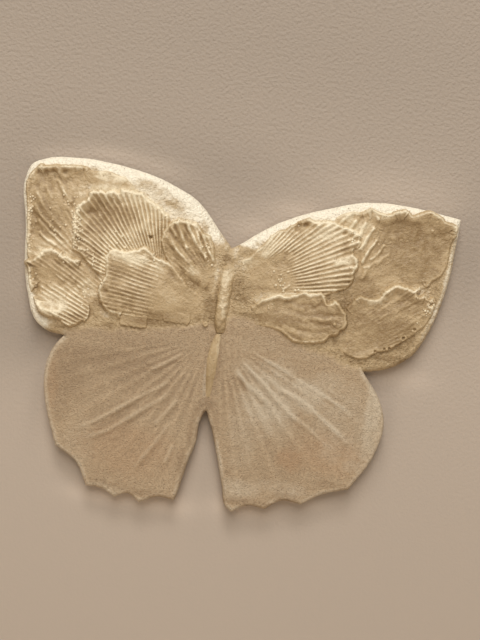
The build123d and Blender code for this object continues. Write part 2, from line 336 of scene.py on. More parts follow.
def ease(value, low, high, toLow=0.0, toHigh=1.0):
    feeds = (value, low, high, toLow, toHigh)
    return put(treeOf(feeds), "ShaderNodeMapRange", feeds, interpolation_type="SMOOTHSTEP")[0]


def bell(value, width):
    # 1 where the value is nil, falling away over the width
    share = value / width
    return maths("EXPONENT", share * share * -1.0)


def ripple(where, size, detail=2.0, seed=0):
    # soft noise about nil, its lumps the given size across in metres
    moved = vectorMaths("ADD", where, (seed * 0.173, seed * 0.059, seed * 0.237))
    feeds = {"Vector": moved, "Detail": detail, "Scale": 0.6 / size}
    return put(treeOf((where,)), "ShaderNodeTexNoise", feeds)[0] - 0.5


def blendValue(share, a, b):
    return put(treeOf((share, a, b)), "ShaderNodeMix", {0: share, 2: a, 3: b})[0]


def blendColour(share, a, b, mode="MIX"):
    feeds = {0: share, 6: a, 7: b}
    return put(treeOf((share, a, b)), "ShaderNodeMix", feeds, data_type="RGBA", blend_type=mode)[2]


def darkened(colour, shade):
    grey = put(treeOf((shade,)), "ShaderNodeCombineColor", (shade, shade, shade))[0]
    return blendColour(1.0, colour, grey, "MULTIPLY")


def namedValue(tree, name):
    return put(tree, "GeometryNodeInputNamedAttribute", {"Name": name}, data_type="FLOAT")[0]


def keepValue(tree, geometry, name, value):
    feeds = {"Geometry": geometry, "Name": name, "Value": value}
    return put(tree, "GeometryNodeStoreNamedAttribute", feeds, data_type="FLOAT", domain="POINT")[0]


# the kinds of the inputs and outputs of node groups, where they aren't numbers
socketKinds = {
    "Vector": "Vector", "Apex": "Vector", "Rib Hub": "Vector", "Left Hub": "Vector",
    "Right Hub": "Vector", "Cream": "Color", "Honey": "Color", "Pool": "Color", "Fleck": "Color",
    "Color": "Color", "Geometry": "Geometry", "Material": "Material", "Ridge Lines": "Object",
}


def newTree(name, kind, inputs, outputs):
    tree = bpy.data.node_groups.new(name, kind)
    for label, start in inputs.items():
        socketType = "NodeSocket" + socketKinds.get(label, "Float")
        made = tree.interface.new_socket(label, in_out="INPUT", socket_type=socketType)
        if start is not None:
            made.default_value = start
    for label in outputs:
        socketType = "NodeSocket" + socketKinds.get(label, "Float")
        tree.interface.new_socket(label, in_out="OUTPUT", socket_type=socketType)
    into = {slot.name: Signal(slot) for slot in tree.nodes.new("NodeGroupInput").outputs}
    return tree, into, tree.nodes.new("NodeGroupOutput").inputs


def giveOut(slots, results):
    for label, signal in results.items():
        link(signal, slots[label])


def addModifier(piece, tree, values):
    modifier = piece.modifiers.new(tree.name, "NODES")
    modifier.node_group = tree
    for item in tree.interface.items_tree:
        if item.item_type == "SOCKET" and item.in_out == "INPUT" and item.name in values:
            modifier[item.identifier] = values[item.name]


def bakeShape(piece):
    # the modifiers' result becomes the piece's own plain mesh
    bpy.context.view_layer.update()
    graph = bpy.context.evaluated_depsgraph_get()
    mesh = bpy.data.meshes.new_from_object(piece.evaluated_get(graph), depsgraph=graph)
    old = piece.data
    piece.modifiers.clear()
    piece.data = mesh
    bpy.data.meshes.remove(old)
    mesh.name = piece.name


def readPlaces(mesh):
    places = np.zeros(len(mesh.vertices) * 3)
    mesh.vertices.foreach_get("co", places)
    return places.reshape(-1, 3)


def readValue(mesh, name, start=0.0):
    values = np.full(len(mesh.vertices), start, np.float32)
    layer = mesh.attributes.get(name)
    if layer:
        layer.data.foreach_get("value", values)
    return values


def markCrests(piece, passes=14, full=0.35):
    # how far each point stands proud of the clay round it, for wear and for pooled glaze
    mesh = piece.data
    count = len(mesh.vertices)
    height = -readPlaces(mesh)[:, 1] / mm
    sheet = readValue(mesh, "sheet", 1.0) > 0.5
    ends = np.zeros(len(mesh.edges) * 2, int)
    mesh.edges.foreach_get("vertices", ends)
    a, b = ends[::2], ends[1::2]
    onFace = sheet[a] & sheet[b]
    a, b = a[onFace], b[onFace]
    joins = np.maximum(np.bincount(a, minlength=count) + np.bincount(b, minlength=count), 1)
    mean = height.copy()
    for _ in range(passes):
        near = np.bincount(a, mean[b], count) + np.bincount(b, mean[a], count)
        mean = 0.5 * mean + 0.5 * near / joins
    inside = np.clip((readValue(mesh, "rim", 1.0) / mm - 0.4) / 1.6, 0, 1)
    storeValue(mesh, "crest", np.clip((height - mean) / full, -1, 1) * sheet * inside)
    mesh.shade_smooth()


def tone(red, green, blue):
    # a colour read off the screen, as the linear light that nodes take
    parts = (((c / 255 + 0.055) / 1.055) ** 2.4 if c > 10 else c / 3295 for c in (red, green, blue))
    return (*parts, 1)


# glaze and clay finishes

glazeFinish = {
    "cream": (241, 224, 190), "honey": (192, 165, 124), "pool": (148, 120, 81),
    "fleck": (128, 88, 50), "roughness": 0.42, "crest": 0.4, "cloud": 0.55, "patch": 0.35,
    "grain": 1.1, "ironShare": 0.035, "ironShows": 0.55,
}
clayFinish = {
    "sand": (194, 168, 134), "shade": (163, 137, 106), "orange": (180, 134, 92),
    "iron": (92, 64, 42), "wash": (212, 195, 168), "roughness": 0.82, "crest": 0.6, "cloud": 0.7,
    "grain": 0.85, "ironShare": 0.07, "orangeShare": 0.3, "ironShows": 0.5, "washShows": 0.7,
}


def grainTree():
    # fine sand of the body: dark and orange grains, and the roughness they give the surface
    tree, into, out = newTree(
        "sandGrain", "ShaderNodeTree",
        {"Vector": None, "Grain": 0.0009, "Iron Share": 0.06, "Orange Share": 0.25},
        ("Iron", "Orange", "Mottle", "Height"),
    )
    where, scale = into["Vector"], 1.0 / into["Grain"]
    cells = put(tree, "ShaderNodeTexVoronoi", {"Vector": where, "Scale": scale})
    pick = put(tree, "ShaderNodeSeparateColor", {0: cells["Color"]})
    near = ease(cells["Distance"], 0.5, 0.2)
    feeds = {"Vector": where, "Scale": scale * 0.8, "Detail": 3.0, "Roughness": 0.7}
    fine = put(tree, "ShaderNodeTexNoise", feeds)[0]
    giveOut(out, {
        "Iron": maths("LESS_THAN", pick[0], into["Iron Share"]) * near,
        "Orange": maths("LESS_THAN", pick[1], into["Orange Share"]) * near,
        "Mottle": fine, "Height": fine + near * 0.4,
    })
    return tree


def glazeTree(values):
    # thin honey glaze: pale where it breaks over crests, deep where it pools
    colours = {label: tone(*values[label.lower()]) for label in ("Cream", "Honey", "Pool", "Fleck")}
    tree, into, out = newTree(
        "glazeCoat", "ShaderNodeTree", {"Vector": None, "Crest": 0.0, "Thickness": 0.5, **colours},
        ("Color", "Roughness", "Height"),
    )
    where = into["Vector"]
    patchy = ripple(where, 0.004, 3.0, 2)
    level = into["Crest"] * values["crest"] + (1.0 - into["Thickness"])
    level = ripple(where, 0.014, 3.0, 1) * values["cloud"] + level
    level = maths("MULTIPLY_ADD", patchy, values["patch"], level, clamp=True)
    deep = blendColour(ease(level, 0.0, 0.45), into["Pool"], into["Honey"])
    colour = blendColour(ease(level, 0.4, 1.0), deep, into["Cream"])
    feeds = {"Vector": where, "Grain": values["grain"] * mm, "Iron Share": values["ironShare"]}
    grain = put(tree, "ShaderNodeGroup", feeds, node_tree=grainTreeMade)
    colour = blendColour(grain["Iron"] * values["ironShows"], colour, into["Fleck"])
    giveOut(out, {
        "Color": darkened(colour, grain["Mottle"] * 0.22 + 0.89),
        "Roughness": patchy * 0.25 + (level * -0.14 + (values["roughness"] + 0.1)),
        "Height": grain["Height"] * 0.5 + ripple(where, 0.001, 2.0, 3),
    })
    return tree


def clayTree(values):
    # bare sandy stoneware, with iron and orange grains
    tree, into, out = newTree(
        "sandyClay", "ShaderNodeTree",
        {"Vector": None, "Crest": 0.0, "Wash": 0.0, "Warmth": 0.0, "Dark": 0.0},
        ("Color", "Roughness", "Height"),
    )
    where = into["Vector"]
    sand, shade, orange, iron, pale = (
        tone(*values[label]) for label in ("sand", "shade", "orange", "iron", "wash")
    )
    grain = put(tree, "ShaderNodeGroup", {
        "Vector": where, "Grain": values["grain"] * mm, "Iron Share": values["ironShare"],
        "Orange Share": values["orangeShare"],
    }, node_tree=grainTreeMade)
    # the Dark input, partly painted shade, pulls the clay towards its darker tone
    level = into["Crest"] * values["crest"] + (into["Dark"] * -0.6 + 0.62)
    cloudy = ripple(where, 0.02, 4.0, 4)
    level = maths("MULTIPLY_ADD", cloudy, values["cloud"], level, clamp=True)
    warm = maths("MULTIPLY_ADD", grain["Orange"], 0.3, into["Warmth"], clamp=True)
    colour = blendColour(warm, blendColour(level, shade, sand), orange)
    wash = ripple(where, 0.006, 4.0, 5) * 1.2 + into["Wash"]
    wash = maths("MULTIPLY", wash, into["Wash"], clamp=True) * values["washShows"]
    colour = blendColour(grain["Iron"] * values["ironShows"], blendColour(wash, colour, pale), iron)
    giveOut(out, {
        "Color": darkened(colour, grain["Mottle"] * 0.36 + 0.82),
        "Roughness": grain["Mottle"] * 0.2 + (values["roughness"] - 0.1),
        "Height": grain["Height"],
    })
    return tree


grainTreeMade = grainTree()
glazeTreeMade = glazeTree(glazeFinish)
clayTreeMade = clayTree(clayFinish)

# where the glaze lies thin and pale, and where it is deep, in mm: middle, reach, how strong;
# besides real glaze, many pale ones are painted highlight and many deep ones painted shade
paleGlazeAndPaintedLightPatches = [
    ((-50, 11.3), (5, 3), 0.5), ((-41.4, 45), (6, 3), 0.5), ((1, 21.5), (5, 6), 0.6),
    ((-59, 19), (12, 5), 0.4), ((-94, -30), (8, 6), 0.5), ((-112, -25), (8, 4), 0.4),
    ((1, -11), (3, 12), 0.4), ((84, 57), (5, 5), 0.5), ((122, 14), (5, 4), 0.6),
    ((142, 61), (4, 5), 0.6), ((8, 28), (8, 3), 0.9), ((-114, -44), (6, 4), 0.7),
    ((-137, 54), (3, 6), 0.6), ((-10, 2), (5, 8), 0.6), ((129, 65), (8, 2), 0.7),
    ((103, 65), (7, 2), 0.7), ((94, 62), (8, 2), 0.7), ((-108, 62), (8, 1.8), 0.9),
    ((-117, 61), (8, 1.8), 0.9), ((-126, 59), (8, 1.8), 0.9), ((2, -40), (3, 10), 0.5),
    ((142, 56), (3, 8), 0.6), ((17, -14), (10, 3), 0.5), ((69, -3), (4, 4), 0.5),
    ((59, 0), (9, 3), 0.7), ((97, 0), (6, 4), 0.6), ((103, 7), (8, 4), 0.6),
    ((92, 30), (5, 4), 0.4), ((74, 40), (8, 8), 0.4), ((84, 58), (4, 7), 0.6),
    ((-60, -10), (8, 4), 0.4), ((-44, 0), (6, 6), 0.6), ((-52, 14), (6, 6), 0.5),
    ((-53, 37), (5, 7), 0.6), ((-97, 31), (5, 12), 0.5), ((-114, 9), (12, 3), 0.5),
    ((60, 1), (8, 3), 0.6), ((141, 57), (3, 7), 0.6), ((24, -7), (8, 3), 0.7),
    ((104, 14), (10, 5), 0.8), ((85, 60), (6, 5), 0.5), ((50, 33), (8, 3), 0.4),
    ((70, 45), (8, 12), 0.4), ((75, 27), (4, 4), 0.6), ((13, 14), (8, 4), 0.5),
    ((21, 25), (10, 5), 0.3), ((-75, -9), (3, 5), 0.5), ((-72, -31), (8, 3), 0.6),
    ((-96, -25), (6, 8), 0.6), ((-109, 57), (7, 3), 0.5), ((-50, 13), (6, 6), 0.4),
    ((-59, 22), (7, 8), 0.4), ((-54, 37), (6, 6), 0.6), ((-96, 43), (5, 6), 0.5),
    ((-115, -41), (8, 4), 0.7), ((-125, -23), (3, 14), 0.9), ((-132, 15), (2.5, 34), 0.9),
    ((-137, 51), (2.5, 8), 0.6), ((91, 57), (12, 4), 0.7), ((-77, 42), (12, 4), 0.8),
    ((-83, 57), (16, 5), 0.8), ((-25, 32), (5, 8), 0.5), ((-39, 36), (8, 5), 0.5),
    ((66, 48), (12, 6), 0.6), ((-86, -17), (8, 6), 0.4), ((59, 3), (16, 4), 0.5),
    ((-102, -31), (9, 6), 0.7), ((-54, 31), (6, 12), 0.5), ((-79, -1), (2.5, 14), 0.8),
    ((0, -4), (4.5, 18), 0.5), ((-82, 47), (18, 6), 0.9), ((-63, 46), (16, 7), 0.9),
    ((-46, 39), (15, 7), 0.9), ((-29, 42), (12, 12), 0.6), ((-116, 57), (22, 5), 0.3),
    ((-71, 15), (22, 6), 0.4), ((54, 42), (18, 8), 0.9), ((69, 54), (14, 6), 0.8),
    ((81, 43), (9, 15), 0.9), ((103, 61), (36, 4), 0.5), ((27, 32), (20, 6), 0.7),
    ((26, 23), (8, 5), 0.5), ((38, -3), (22, 3), 0.8), ((-119, 2), (12, 4), 0.8),
    ((-100, 2), (8, 4), 0.7), ((-98, -26), (10, 7), 0.6), ((-110, -30), (14, 5), 0.5),
    ((-57, 6), (18, 5), 0.8), ((-101, 29), (3, 18), 0.7), ((-16, 25), (5, 9), 0.6),
    ((-23, 5), (6, 4), 0.6), ((111, 12), (22, 3), 0.3), ((73, 22), (8, 4), 0.8),
    ((57, 22), (20, 12), 0.4), ((65, -31), (16, 4), 0.5), ((131, 3), (5, 4), 0.6),
    ((87, 42), (6, 14), 0.5),
]
deepGlazeAndPaintedShadePatches = [
    ((-11.5, 0.9), (4, 10), 0.7), ((-15.5, 6.1), (5, 4), 0.5), ((-79, 59), (10, 2), 0.4),
    ((-58, 57), (10, 3), 0.4), ((-19, 33), (4, 8), 0.5), ((-38, 45), (8, 4), 0.5),
    ((99, -40), (10, 3), 0.5), ((82, -34), (20, 3), 0.5), ((118, 18), (8, 3), 0.5),
    ((109, 20), (14, 5), 0.4), ((122, 56), (14, 4), 0.4), ((81, -28), (18, 5), 0.5),
    ((30, -13), (20, 4), 0.4), ((79, 31), (5, 3), 0.5), ((-102, 37), (4, 4), 0.5),
    ((-114, -1), (9, 6), 0.5), ((-98, 53), (6, 5), 0.4), ((-119, 52), (14, 6), 0.5),
    ((-5, -21), (5, 5), 0.8), ((-126, 57), (9, 2), 0.7), ((-61, -34), (14, 5), 0.4),
    ((-21, -21), (10, 8), 0.4), ((-91, -36), (6, 3), 0.5), ((56, -32), (10, 3), 0.5),
    ((113, -33), (20, 3.5), 0.9), ((76, -12), (3, 7), 0.6), ((119, 1), (14, 4), 0.5),
    ((131, 25), (8, 5), 0.5), ((74, 20), (5, 3), 0.6), ((54, 6), (12, 2.5), 0.6),
    ((39, -10), (8, 4), 0.6), ((19, -2), (12, 4), 0.8), ((43, 42), (4, 5), 1),
    ((15, 29), (8, 3), 0.8), ((-78, -31), (7, 5), 0.6), ((-124, -10), (8, 4), 0.6),
    ((-95, 3), (7, 4), 0.6), ((-80, 30), (16, 8), 0.4), ((-87, 45), (5, 4), 0.6),
    ((-95, 58), (4, 4), 0.8), ((-132, 38), (2.5, 12), 0.8), ((-17, -6), (8, 10), 0.25),
    ((-8, -17), (5, 9), 0.8), ((49, -10), (20, 6), 0.3), ((-109, -7), (8, 5), 0.4),
    ((-53, 20), (5, 4), 0.4), ((133, 59), (8, 3), 0.6), ((18, 31), (5, 4), 0.6),
    ((47, 42), (6, 5), 0.7), ((80, 53), (5, 4), 0.8), ((102, -18), (22, 16), 0.6),
    ((101, -4), (10, 5), 0.8), ((76, 0), (8, 10), 0.9), ((61, 16), (8, 6), 0.4),
    ((25, -1), (12, 2.5), 0.6), ((-16, -24), (12, 3), 0.6), ((-24, -3), (10, 6), 0.5),
    ((-76, -18), (5, 5), 0.5), ((-125, 3), (4, 3), 0.6), ((-85, 45), (5, 4), 0.5),
    ((-87, 31), (14, 10), 0.4), ((-121, 47), (14, 2.5), 0.5), ((-16, 22), (5, 5), 0.6),
    ((-1, 17), (4, 8), 0.8), ((0, -28), (5, 6), 0.9), ((134, 15), (4, 12), 0.5),
    ((48, -6), (12, 6), 0.5), ((23, 11), (12, 8), 0.4), ((17, 30), (8, 3), 0.6),
    ((-49, -3), (14, 6), 0.3), ((-30, 1), (12, 5), 0.5), ((-22, 10), (6, 9), 0.5),
    ((-104, -45), (10, 3), 0.5), ((-86, 47), (5, 4), 0.5), ((-94, 49), (7, 8), 0.5),
    ((-123, 57), (12, 2.5), 0.7), ((-116, 53), (26, 6), 0.4), ((-124, 44), (8, 4), 0.5),
    ((-123, 22), (13, 13), 0.6), ((-82, 34), (18, 12), 0.6), ((-88, 20), (10, 8), 0.3),
    ((-113, -7), (22, 8), 0.3), ((-121, -19), (4, 6), 0.6), ((-69, -10), (14, 14), 0.5),
    ((-23, -5), (9, 14), 0.4), ((-5, -10), (2, 12), 0.8), ((-2, -53), (4, 32), 0.6),
    ((-47, 14), (8, 9), 0.35), ((-35, 23), (10, 14), 0.15), ((-51, -32), (28, 3), 0.7),
    ((-31, -27), (20, 4), 0.6), ((12, -3), (18, 10), 0.6), ((31, -17), (26, 7), 0.7),
    ((43, 43), (6, 5), 0.95), ((32, 18), (9, 6), 0.6), ((75, 34), (6, 8), 0.7),
    ((105, 47), (24, 14), 0.7), ((131, 47), (9, 10), 0.7), ((114, 31), (28, 12), 0.45),
    ((88, 10), (20, 8), 0.7), ((101, 14), (14, 5), 0.8), ((83, -13), (12, 14), 0.5),
    ((118, 5), (20, 5), 0.5), ((85, -32), (26, 4), 0.6), ((64, -1), (8, 6), 0.8),
    ((63, -16), (34, 12), 0.5), ((52, -27), (16, 3), 0.6), ((100, -38), (20, 3), 0.8),
    ((128, 26), (12, 6), 0.5), ((122, -23), (8, 8), 0.5), ((118, 61), (10, 3), 0.5),
    ((-70, -25), (18, 5), 0.6), ((5, 22), (12, 4), 0.6), ((-65, -38), (20, 3), 0.6),
]
# washed, warm and dark places on the lower wings, in the same form; the dark places are partly
# darker clay and partly painted shade, as along the lower rims and the tail's edges
washPatches = [
    ((75, -52), (16, 6), 0.5), ((28, -129), (16, 8), 0.7), ((97, -104), (10, 6), 0.6),
    ((39, -70), (22, 26), 0.9), ((28, -36), (26, 8), 0.3), ((53, -37), (20, 6), 0.3),
    ((42, -71), (17, 12), 1), ((57, -64), (24, 12), 0.9), ((89, -79), (22, 30), 0.6),
    ((55, -125), (22, 6), 0.6), ((105, -73), (8, 36), 0.9), ((25, -85), (12, 34), 0.5),
    ((-20, -43), (30, 5), 0.2), ((-4, -60), (2, 18), 0.7), ((76, -58), (30, 10), 0.6),
    ((30, -55), (20, 10), 0.6), ((-61, -143), (20, 6), 0.4), ((-78, -113), (12, 20), 0.35),
]
darkClayAndPaintedShadePatches = [
    ((-7.8, -97.7), (3.5, 12), 0.9), ((-11.5, -120.3), (3.5, 12), 0.9),
    ((-28.5, -141), (20, 3), 0.8), ((-61.2, -138.7), (12, 3), 0.6), ((-0.9, -78.5), (6, 4), 0.9),
    ((6, -94.3), (3, 14), 0.7), ((35.7, -137.2), (22, 3), 0.9), ((57.5, -131.3), (10, 4), 0.9),
    ((88, -118.4), (14, 3), 0.6), ((18, -131.4), (3, 14), 0.5), ((-74, -77), (8, 6), 0.4),
    ((-32, -53), (14, 4), 0.4), ((-56, -45), (34, 5), 0.4), ((-67, -60), (38, 9), 0.7),
    ((-90, -76), (14, 14), 0.7), ((-39, -69), (30, 10), 0.4), ((-1, -53), (6, 22), 0.8),
    ((-2, -83), (8, 6), 0.8), ((-93, -96), (7, 10), 0.5), ((17, -31), (12, 3), 0.3),
]
warmPatches = [
    ((-102, -85), (5, 22), 0.15), ((-45, -115), (30, 18), 0.2), ((82, -99), (24, 14), 0.25),
    ((57, -106), (10, 8), 0.3),
]


def patchShares(points, wander, patches):
    # soft ovals with ragged edges, the strongest one wins
    total = np.zeros(len(points))
    for middle, reach, strength in patches:
        far = np.linalg.norm((points - middle) / reach, axis=1) + wander
        share = np.clip((1.35 - far) / 0.9, 0, 1)
        total = np.maximum(total, strength * share**2 * (3 - 2 * share))
    return total


def spreadGlaze(mesh, isSlab):
    # how thick the glaze lies at each place, the same on the slab and on what is pressed on it; the
    # pale and deep patches in it also carry painted highlight and painted shade
    places = readPlaces(mesh)
    points = places[:, [0, 2]] / mm
    # the back keeps one plain tone
    front = np.clip(-places[:, 1] / mm - 1, 0, 1)
    wander = 0.22 * rough(points, 7.0, 66)
    deep, pale = patchShares(points, wander, deepGlazeAndPaintedShadePatches), patchShares(points, wander, paleGlazeAndPaintedLightPatches)
    # pool: real pooled glaze, together with painted shade from the deep patches and painted
    # highlight from the pale ones
    storeValue(mesh, "pool", 0.45 * (deep - pale) * front)
    if isSlab:
        clay = {"wash": washPatches, "warmth": warmPatches, "dark": darkClayAndPaintedShadePatches}
        for label, patches in clay.items():
            storeValue(mesh, label, patchShares(points, wander, patches) * front)


def startMaterial(name):
    material = bpy.data.materials.new(name)
    material.use_nodes = True
    tree = material.node_tree
    where = put(tree, "ShaderNodeTexCoord")["Object"]
    return material, tree, tree.nodes["Principled BSDF"].inputs, where


def attributeValue(tree, name):
    return put(tree, "ShaderNodeAttribute", attribute_name=name)["Fac"]


def bumpFrom(height, distance, strength=1.0):
    feeds = {"Height": height, "Distance": distance, "Strength": strength}
    return put(treeOf((height,)), "ShaderNodeBump", feeds)[0]


def glazeMaterial(name, values):
    material, tree, shader, where = startMaterial(name)
    # the pool attribute holds pooled glaze along with painted shade and painted highlight
    crest, pool, shift = (attributeValue(tree, label) for label in ("crest", "pool", "shift"))
    feeds = {
        "Vector": where, "Crest": crest * values["crest"],
        "Thickness": pool + values["thickness"] + shift,
    }
    coat = put(tree, "ShaderNodeGroup", feeds, node_tree=glazeTreeMade)
    giveOut(shader, {
        "Base Color": coat["Color"], "Roughness": coat["Roughness"],
        "Normal": bumpFrom(coat["Height"], values["bump"] * mm),
    })
    return material


petalFinish = {"thickness": 0.56, "bump": 0.6, "crest": 1.0}
bodyFinish = {"thickness": 0.47, "bump": 0.5, "crest": 0.45}
petalGlaze = glazeMaterial("petalGlaze", petalFinish)
bodyGlaze = glazeMaterial("bodyGlaze", bodyFinish)

wingFinish = {
    "cream": (251, 238, 212), "thickness": 0.53, "glazeEdge": 2.5, "bump": 0.75, "crest": 0.45,
    "seam": 0.3, "worn": 0.6, "rimWash": 0.75, "rimReach": (1.0, 4.5), "crestWash": 0.25,
    "ridgeWash": 0.22, "ragged": 7.0, "wiped": (-3.4, -2.0), "coatHeight": 1.6,
}


def wingMaterial(values):
    material, tree, shader, where = startMaterial("wingClay")
    labels = ("crest", "pool", "seam", "worn", "rim", "wash", "ridge", "warmth", "dark", "glaze")
    crest, pool, seam, worn, rim, washed, ridge, warmth, dark, glaze = (
        attributeValue(tree, label) for label in labels
    )
    # glaze gathers along the seams, and ran thin off the broad rims; the seam line is also painted
    # shade under the petals, and the paler upward rims are also painted highlight
    thick = worn * -values["worn"] + (seam * values["seam"] + (pool + values["thickness"]))
    coat = put(tree, "ShaderNodeGroup", {
        "Vector": where, "Crest": crest * values["crest"], "Thickness": thick,
        "Cream": tone(*values["cream"]),
    }, node_tree=glazeTreeMade)
    # bare clay near the rim is paler: partly real wash, partly painted highlight on the rounded
    # edge
    full, none = values["rimReach"]
    paleRimAndPaintedHighlight = ease(rim, none * mm, full * mm, 0.0, values["rimWash"])
    # where the dark patches lie, which are partly painted shade, the rim is not washed pale
    paleRimAndPaintedHighlight = paleRimAndPaintedHighlight * maths("SUBTRACT", 1.0, dark, clamp=True)
    wash = crest * values["crestWash"] + maths("MAXIMUM", washed, paleRimAndPaintedHighlight)
    bare = put(tree, "ShaderNodeGroup", {
        "Vector": where, "Crest": crest, "Wash": ridge * values["ridgeWash"] + wash,
        "Warmth": warmth, "Dark": dark,
    }, node_tree=clayTreeMade)
    ragged = ripple(where, 0.007, 4.0, 7) * (values["ragged"] * mm)
    # the back and the last of the wall were wiped bare
    start, end = values["wiped"]
    wiped = ease(partsOf(where)[1] + ragged, start * mm, end * mm, 0.0, 0.2)
    share = ease(glaze + ragged - wiped, -values["glazeEdge"] * mm, values["glazeEdge"] * mm)
    height = blendValue(share, bare["Height"], coat["Height"] * values["coatHeight"])
    giveOut(shader, {
        "Base Color": blendColour(share, bare["Color"], coat["Color"]),
        "Roughness": blendValue(share, bare["Roughness"], coat["Roughness"]),
        "Normal": bumpFrom(height, values["bump"] * mm),
    })
    return material


wingClay = wingMaterial(wingFinish)
print("finishes mixed")


# node trees that shape the clay


def handUnevenness(where):
    # the same hand-rolled unevenness lies under the slab's face and the petals on it
    return ripple(where, 0.009, 2.0, 9) * (0.3 * mm) + ripple(where, 0.03, 2.0, 8) * (0.9 * mm)


def roundedDrop(rim, width, depth):
    # how far a rounded edge falls away at a distance from its rim
    share = maths("SUBTRACT", 1.0, rim / width, clamp=True)
    return (1.0 - maths("SQRT", 1.0 - share * share)) * depth


def liftFace(tree, geometry, height):
    # moves the front sheet out to a height over the wall, and leaves walls and back alone
    x, _, z = partsOf(put(tree, "GeometryNodeInputPosition")[0])
    onSheet = maths("GREATER_THAN", namedValue(tree, "sheet"), 0.5)
    feeds = {"Geometry": geometry, "Selection": onSheet, "Position": spot(x, height * -1.0, z)}
    return put(tree, "GeometryNodeSetPosition", feeds)[0]


def scatterBeads(tree, geometry, share, spacing, radius, seed):
    # small beads of clay, thick where the share is high
    points = put(tree, "GeometryNodeDistributePointsOnFaces", {
        "Mesh": geometry, "Distance Min": spacing, "Density Max": 2.0e6, "Density Factor": share,
        "Seed": seed,
    }, distribute_method="POISSON")[0]
    bead = put(tree, "GeometryNodeMeshUVSphere", {"Segments": 8, "Rings": 5, "Radius": radius})[0]
    feeds = {2: 0.45, 3: 1.25, "Seed": seed}
    size = put(tree, "FunctionNodeRandomValue", feeds, data_type="FLOAT")[1]
    feeds = {"Points": points, "Instance": bead, "Scale": spot(size, size * 0.85, size)}
    beads = put(tree, "GeometryNodeInstanceOnPoints", feeds)[0]
    return put(tree, "GeometryNodeRealizeInstances", {0: beads})[0]


def finishTree(tree, geometry, material, out):
    real = put(tree, "GeometryNodeRealizeInstances", {0: geometry})[0]
    made = put(tree, "GeometryNodeSetMaterial", {"Geometry": real, "Material": material})[0]
    link(made, out["Geometry"])


def shellTree():
    # presses the face of a ribbed shell into a petal's flat blank
    tree, into, out = newTree("pressShell", "GeometryNodeTree", {
        "Geometry": None, "Apex": None, "Rib Hub": None, "Material": None,
        "Turn": 0.0, "Length": 0.07, "Rib Turn": 0.0, "Rib Step": 0.05, "Rib Height": 0.0008,
        "Rib Sharpness": 1.2, "Rib Start": 0.15, "Rib Wander": 0.5, "Wear": 0.4,
        "Crumple": 0.0006, "Lip Bead": 0.0005, "Edge Round": 0.0012, "Buckle": 0.0006,
        "Skin": 0.0001, "Seed": 0.0, "Bead Spacing": 0.0014, "Bead Radius": 0.0008,
    }, ("Geometry",))
    where = put(tree, "GeometryNodeInputPosition")[0]
    rim, form, stand, plain, cap, grit = (
        namedValue(tree, label) for label in ("rim", "form", "stand", "plain", "cap", "grit")
    )

    def fromHub(hub, turn):
        # reach along a direction and across it, from a hub
        cosine, sine = maths("COSINE", turn), maths("SINE", turn)
        along, across = spot(cosine, 0.0, sine), spot(sine * -1.0, 0.0, cosine)
        offset = vectorMaths("SUBTRACT", where, hub)
        return vectorMaths("DOT_PRODUCT", offset, along), vectorMaths("DOT_PRODUCT", offset, across)

    seeded = vectorMaths("ADD", where, spot(into["Seed"], 0.0, into["Seed"]))
    u = fromHub(into["Apex"], into["Turn"])[0] / into["Length"]
    # ribs fan out from their hub, wander, and each is worn away in places of its own
    ribAlong, ribAcross = fromHub(into["Rib Hub"], into["Rib Turn"])
    wander = ripple(seeded, 0.014, 2.0, 10) * into["Rib Wander"]
    phase = maths("ARCTAN2", ribAcross, ribAlong) / into["Rib Step"] + wander
    wave = maths("COSINE", phase * (2 * math.pi))
    wave = maths("MULTIPLY_ADD", wave, 0.5, 0.5, clamp=True)
    wave = maths("POWER", wave, into["Rib Sharpness"])
    least = 1.0 - into["Wear"]
    ownPlace = spot(maths("ROUND", phase) * 0.013, ribAlong * 0.7, into["Seed"])
    own = ease(ripple(ownPlace, 0.009, 2.0, 20), -0.2, 0.14, least)
    start = ease(u, into["Rib Start"], into["Rib Start"] + 0.24)
    worn = ease(ripple(seeded, 0.013, 3.0, 11), -0.14, 0.1, least)
    crumbly = ripple(seeded, 0.0028, 2.0, 22) * 1.5 + 1.0
    ribs = wave * start * (own * worn) * (crumbly * into["Rib Height"])
    # no rib, lump or buckle shows where the petal is smoothed out on to the slab
    free = ease(maths("MINIMUM", form, form + stand), 0.1 * mm, 1.0 * mm)
    near = ease(rim, 7 * mm, 0.5 * mm)
    torn = ripple(seeded, 0.0045, 3.0, 12) * (into["Crumple"] * near)
    proud = ease(stand, 1.6 * mm, 3.2 * mm)
    lumpy = ease(ripple(seeded, 0.006, 2.0, 13), -0.12, 0.2)
    bead = bell(rim - 1.1 * mm, 0.9 * mm) * into["Lip Bead"] * (lumpy * proud)
    buckle = ripple(seeded, 0.019, 1.0, 14) + ripple(seeded, 0.008, 2.0, 21) * 0.5
    relief = ribs * (1.0 - plain) + torn * 2.0 + bead + buckle * (into["Buckle"] * 2.0)
    height = maths("MAXIMUM", maths("MINIMUM", relief * free + form, cap), -0.45 * mm)
    bevel = maths("MAXIMUM", stand, 0.0) * 0.42 + into["Edge Round"]
    share = maths("SUBTRACT", 1.0, rim / bevel, clamp=True)
    rounded = maths("MAXIMUM", height, 0.0) * maths("POWER", share, 1.6)
    height = rounded * -0.9 + height
    height = ripple(where, 0.0021, 3.0, 16) * into["Skin"] + height + handUnevenness(where)
    lifted = liftFace(tree, into["Geometry"], height + slabFace * mm)
    seed = put(tree, "FunctionNodeFloatToInt", (into["Seed"],))[0]
    beads = scatterBeads(tree, lifted, grit, into["Bead Spacing"], into["Bead Radius"], seed)
    joined = tree.nodes.new("GeometryNodeJoinGeometry")
    link(beads, joined.inputs[0])
    link(lifted, joined.inputs[0])
    finishTree(tree, Signal(joined.outputs[0]), into["Material"], out)
    return tree


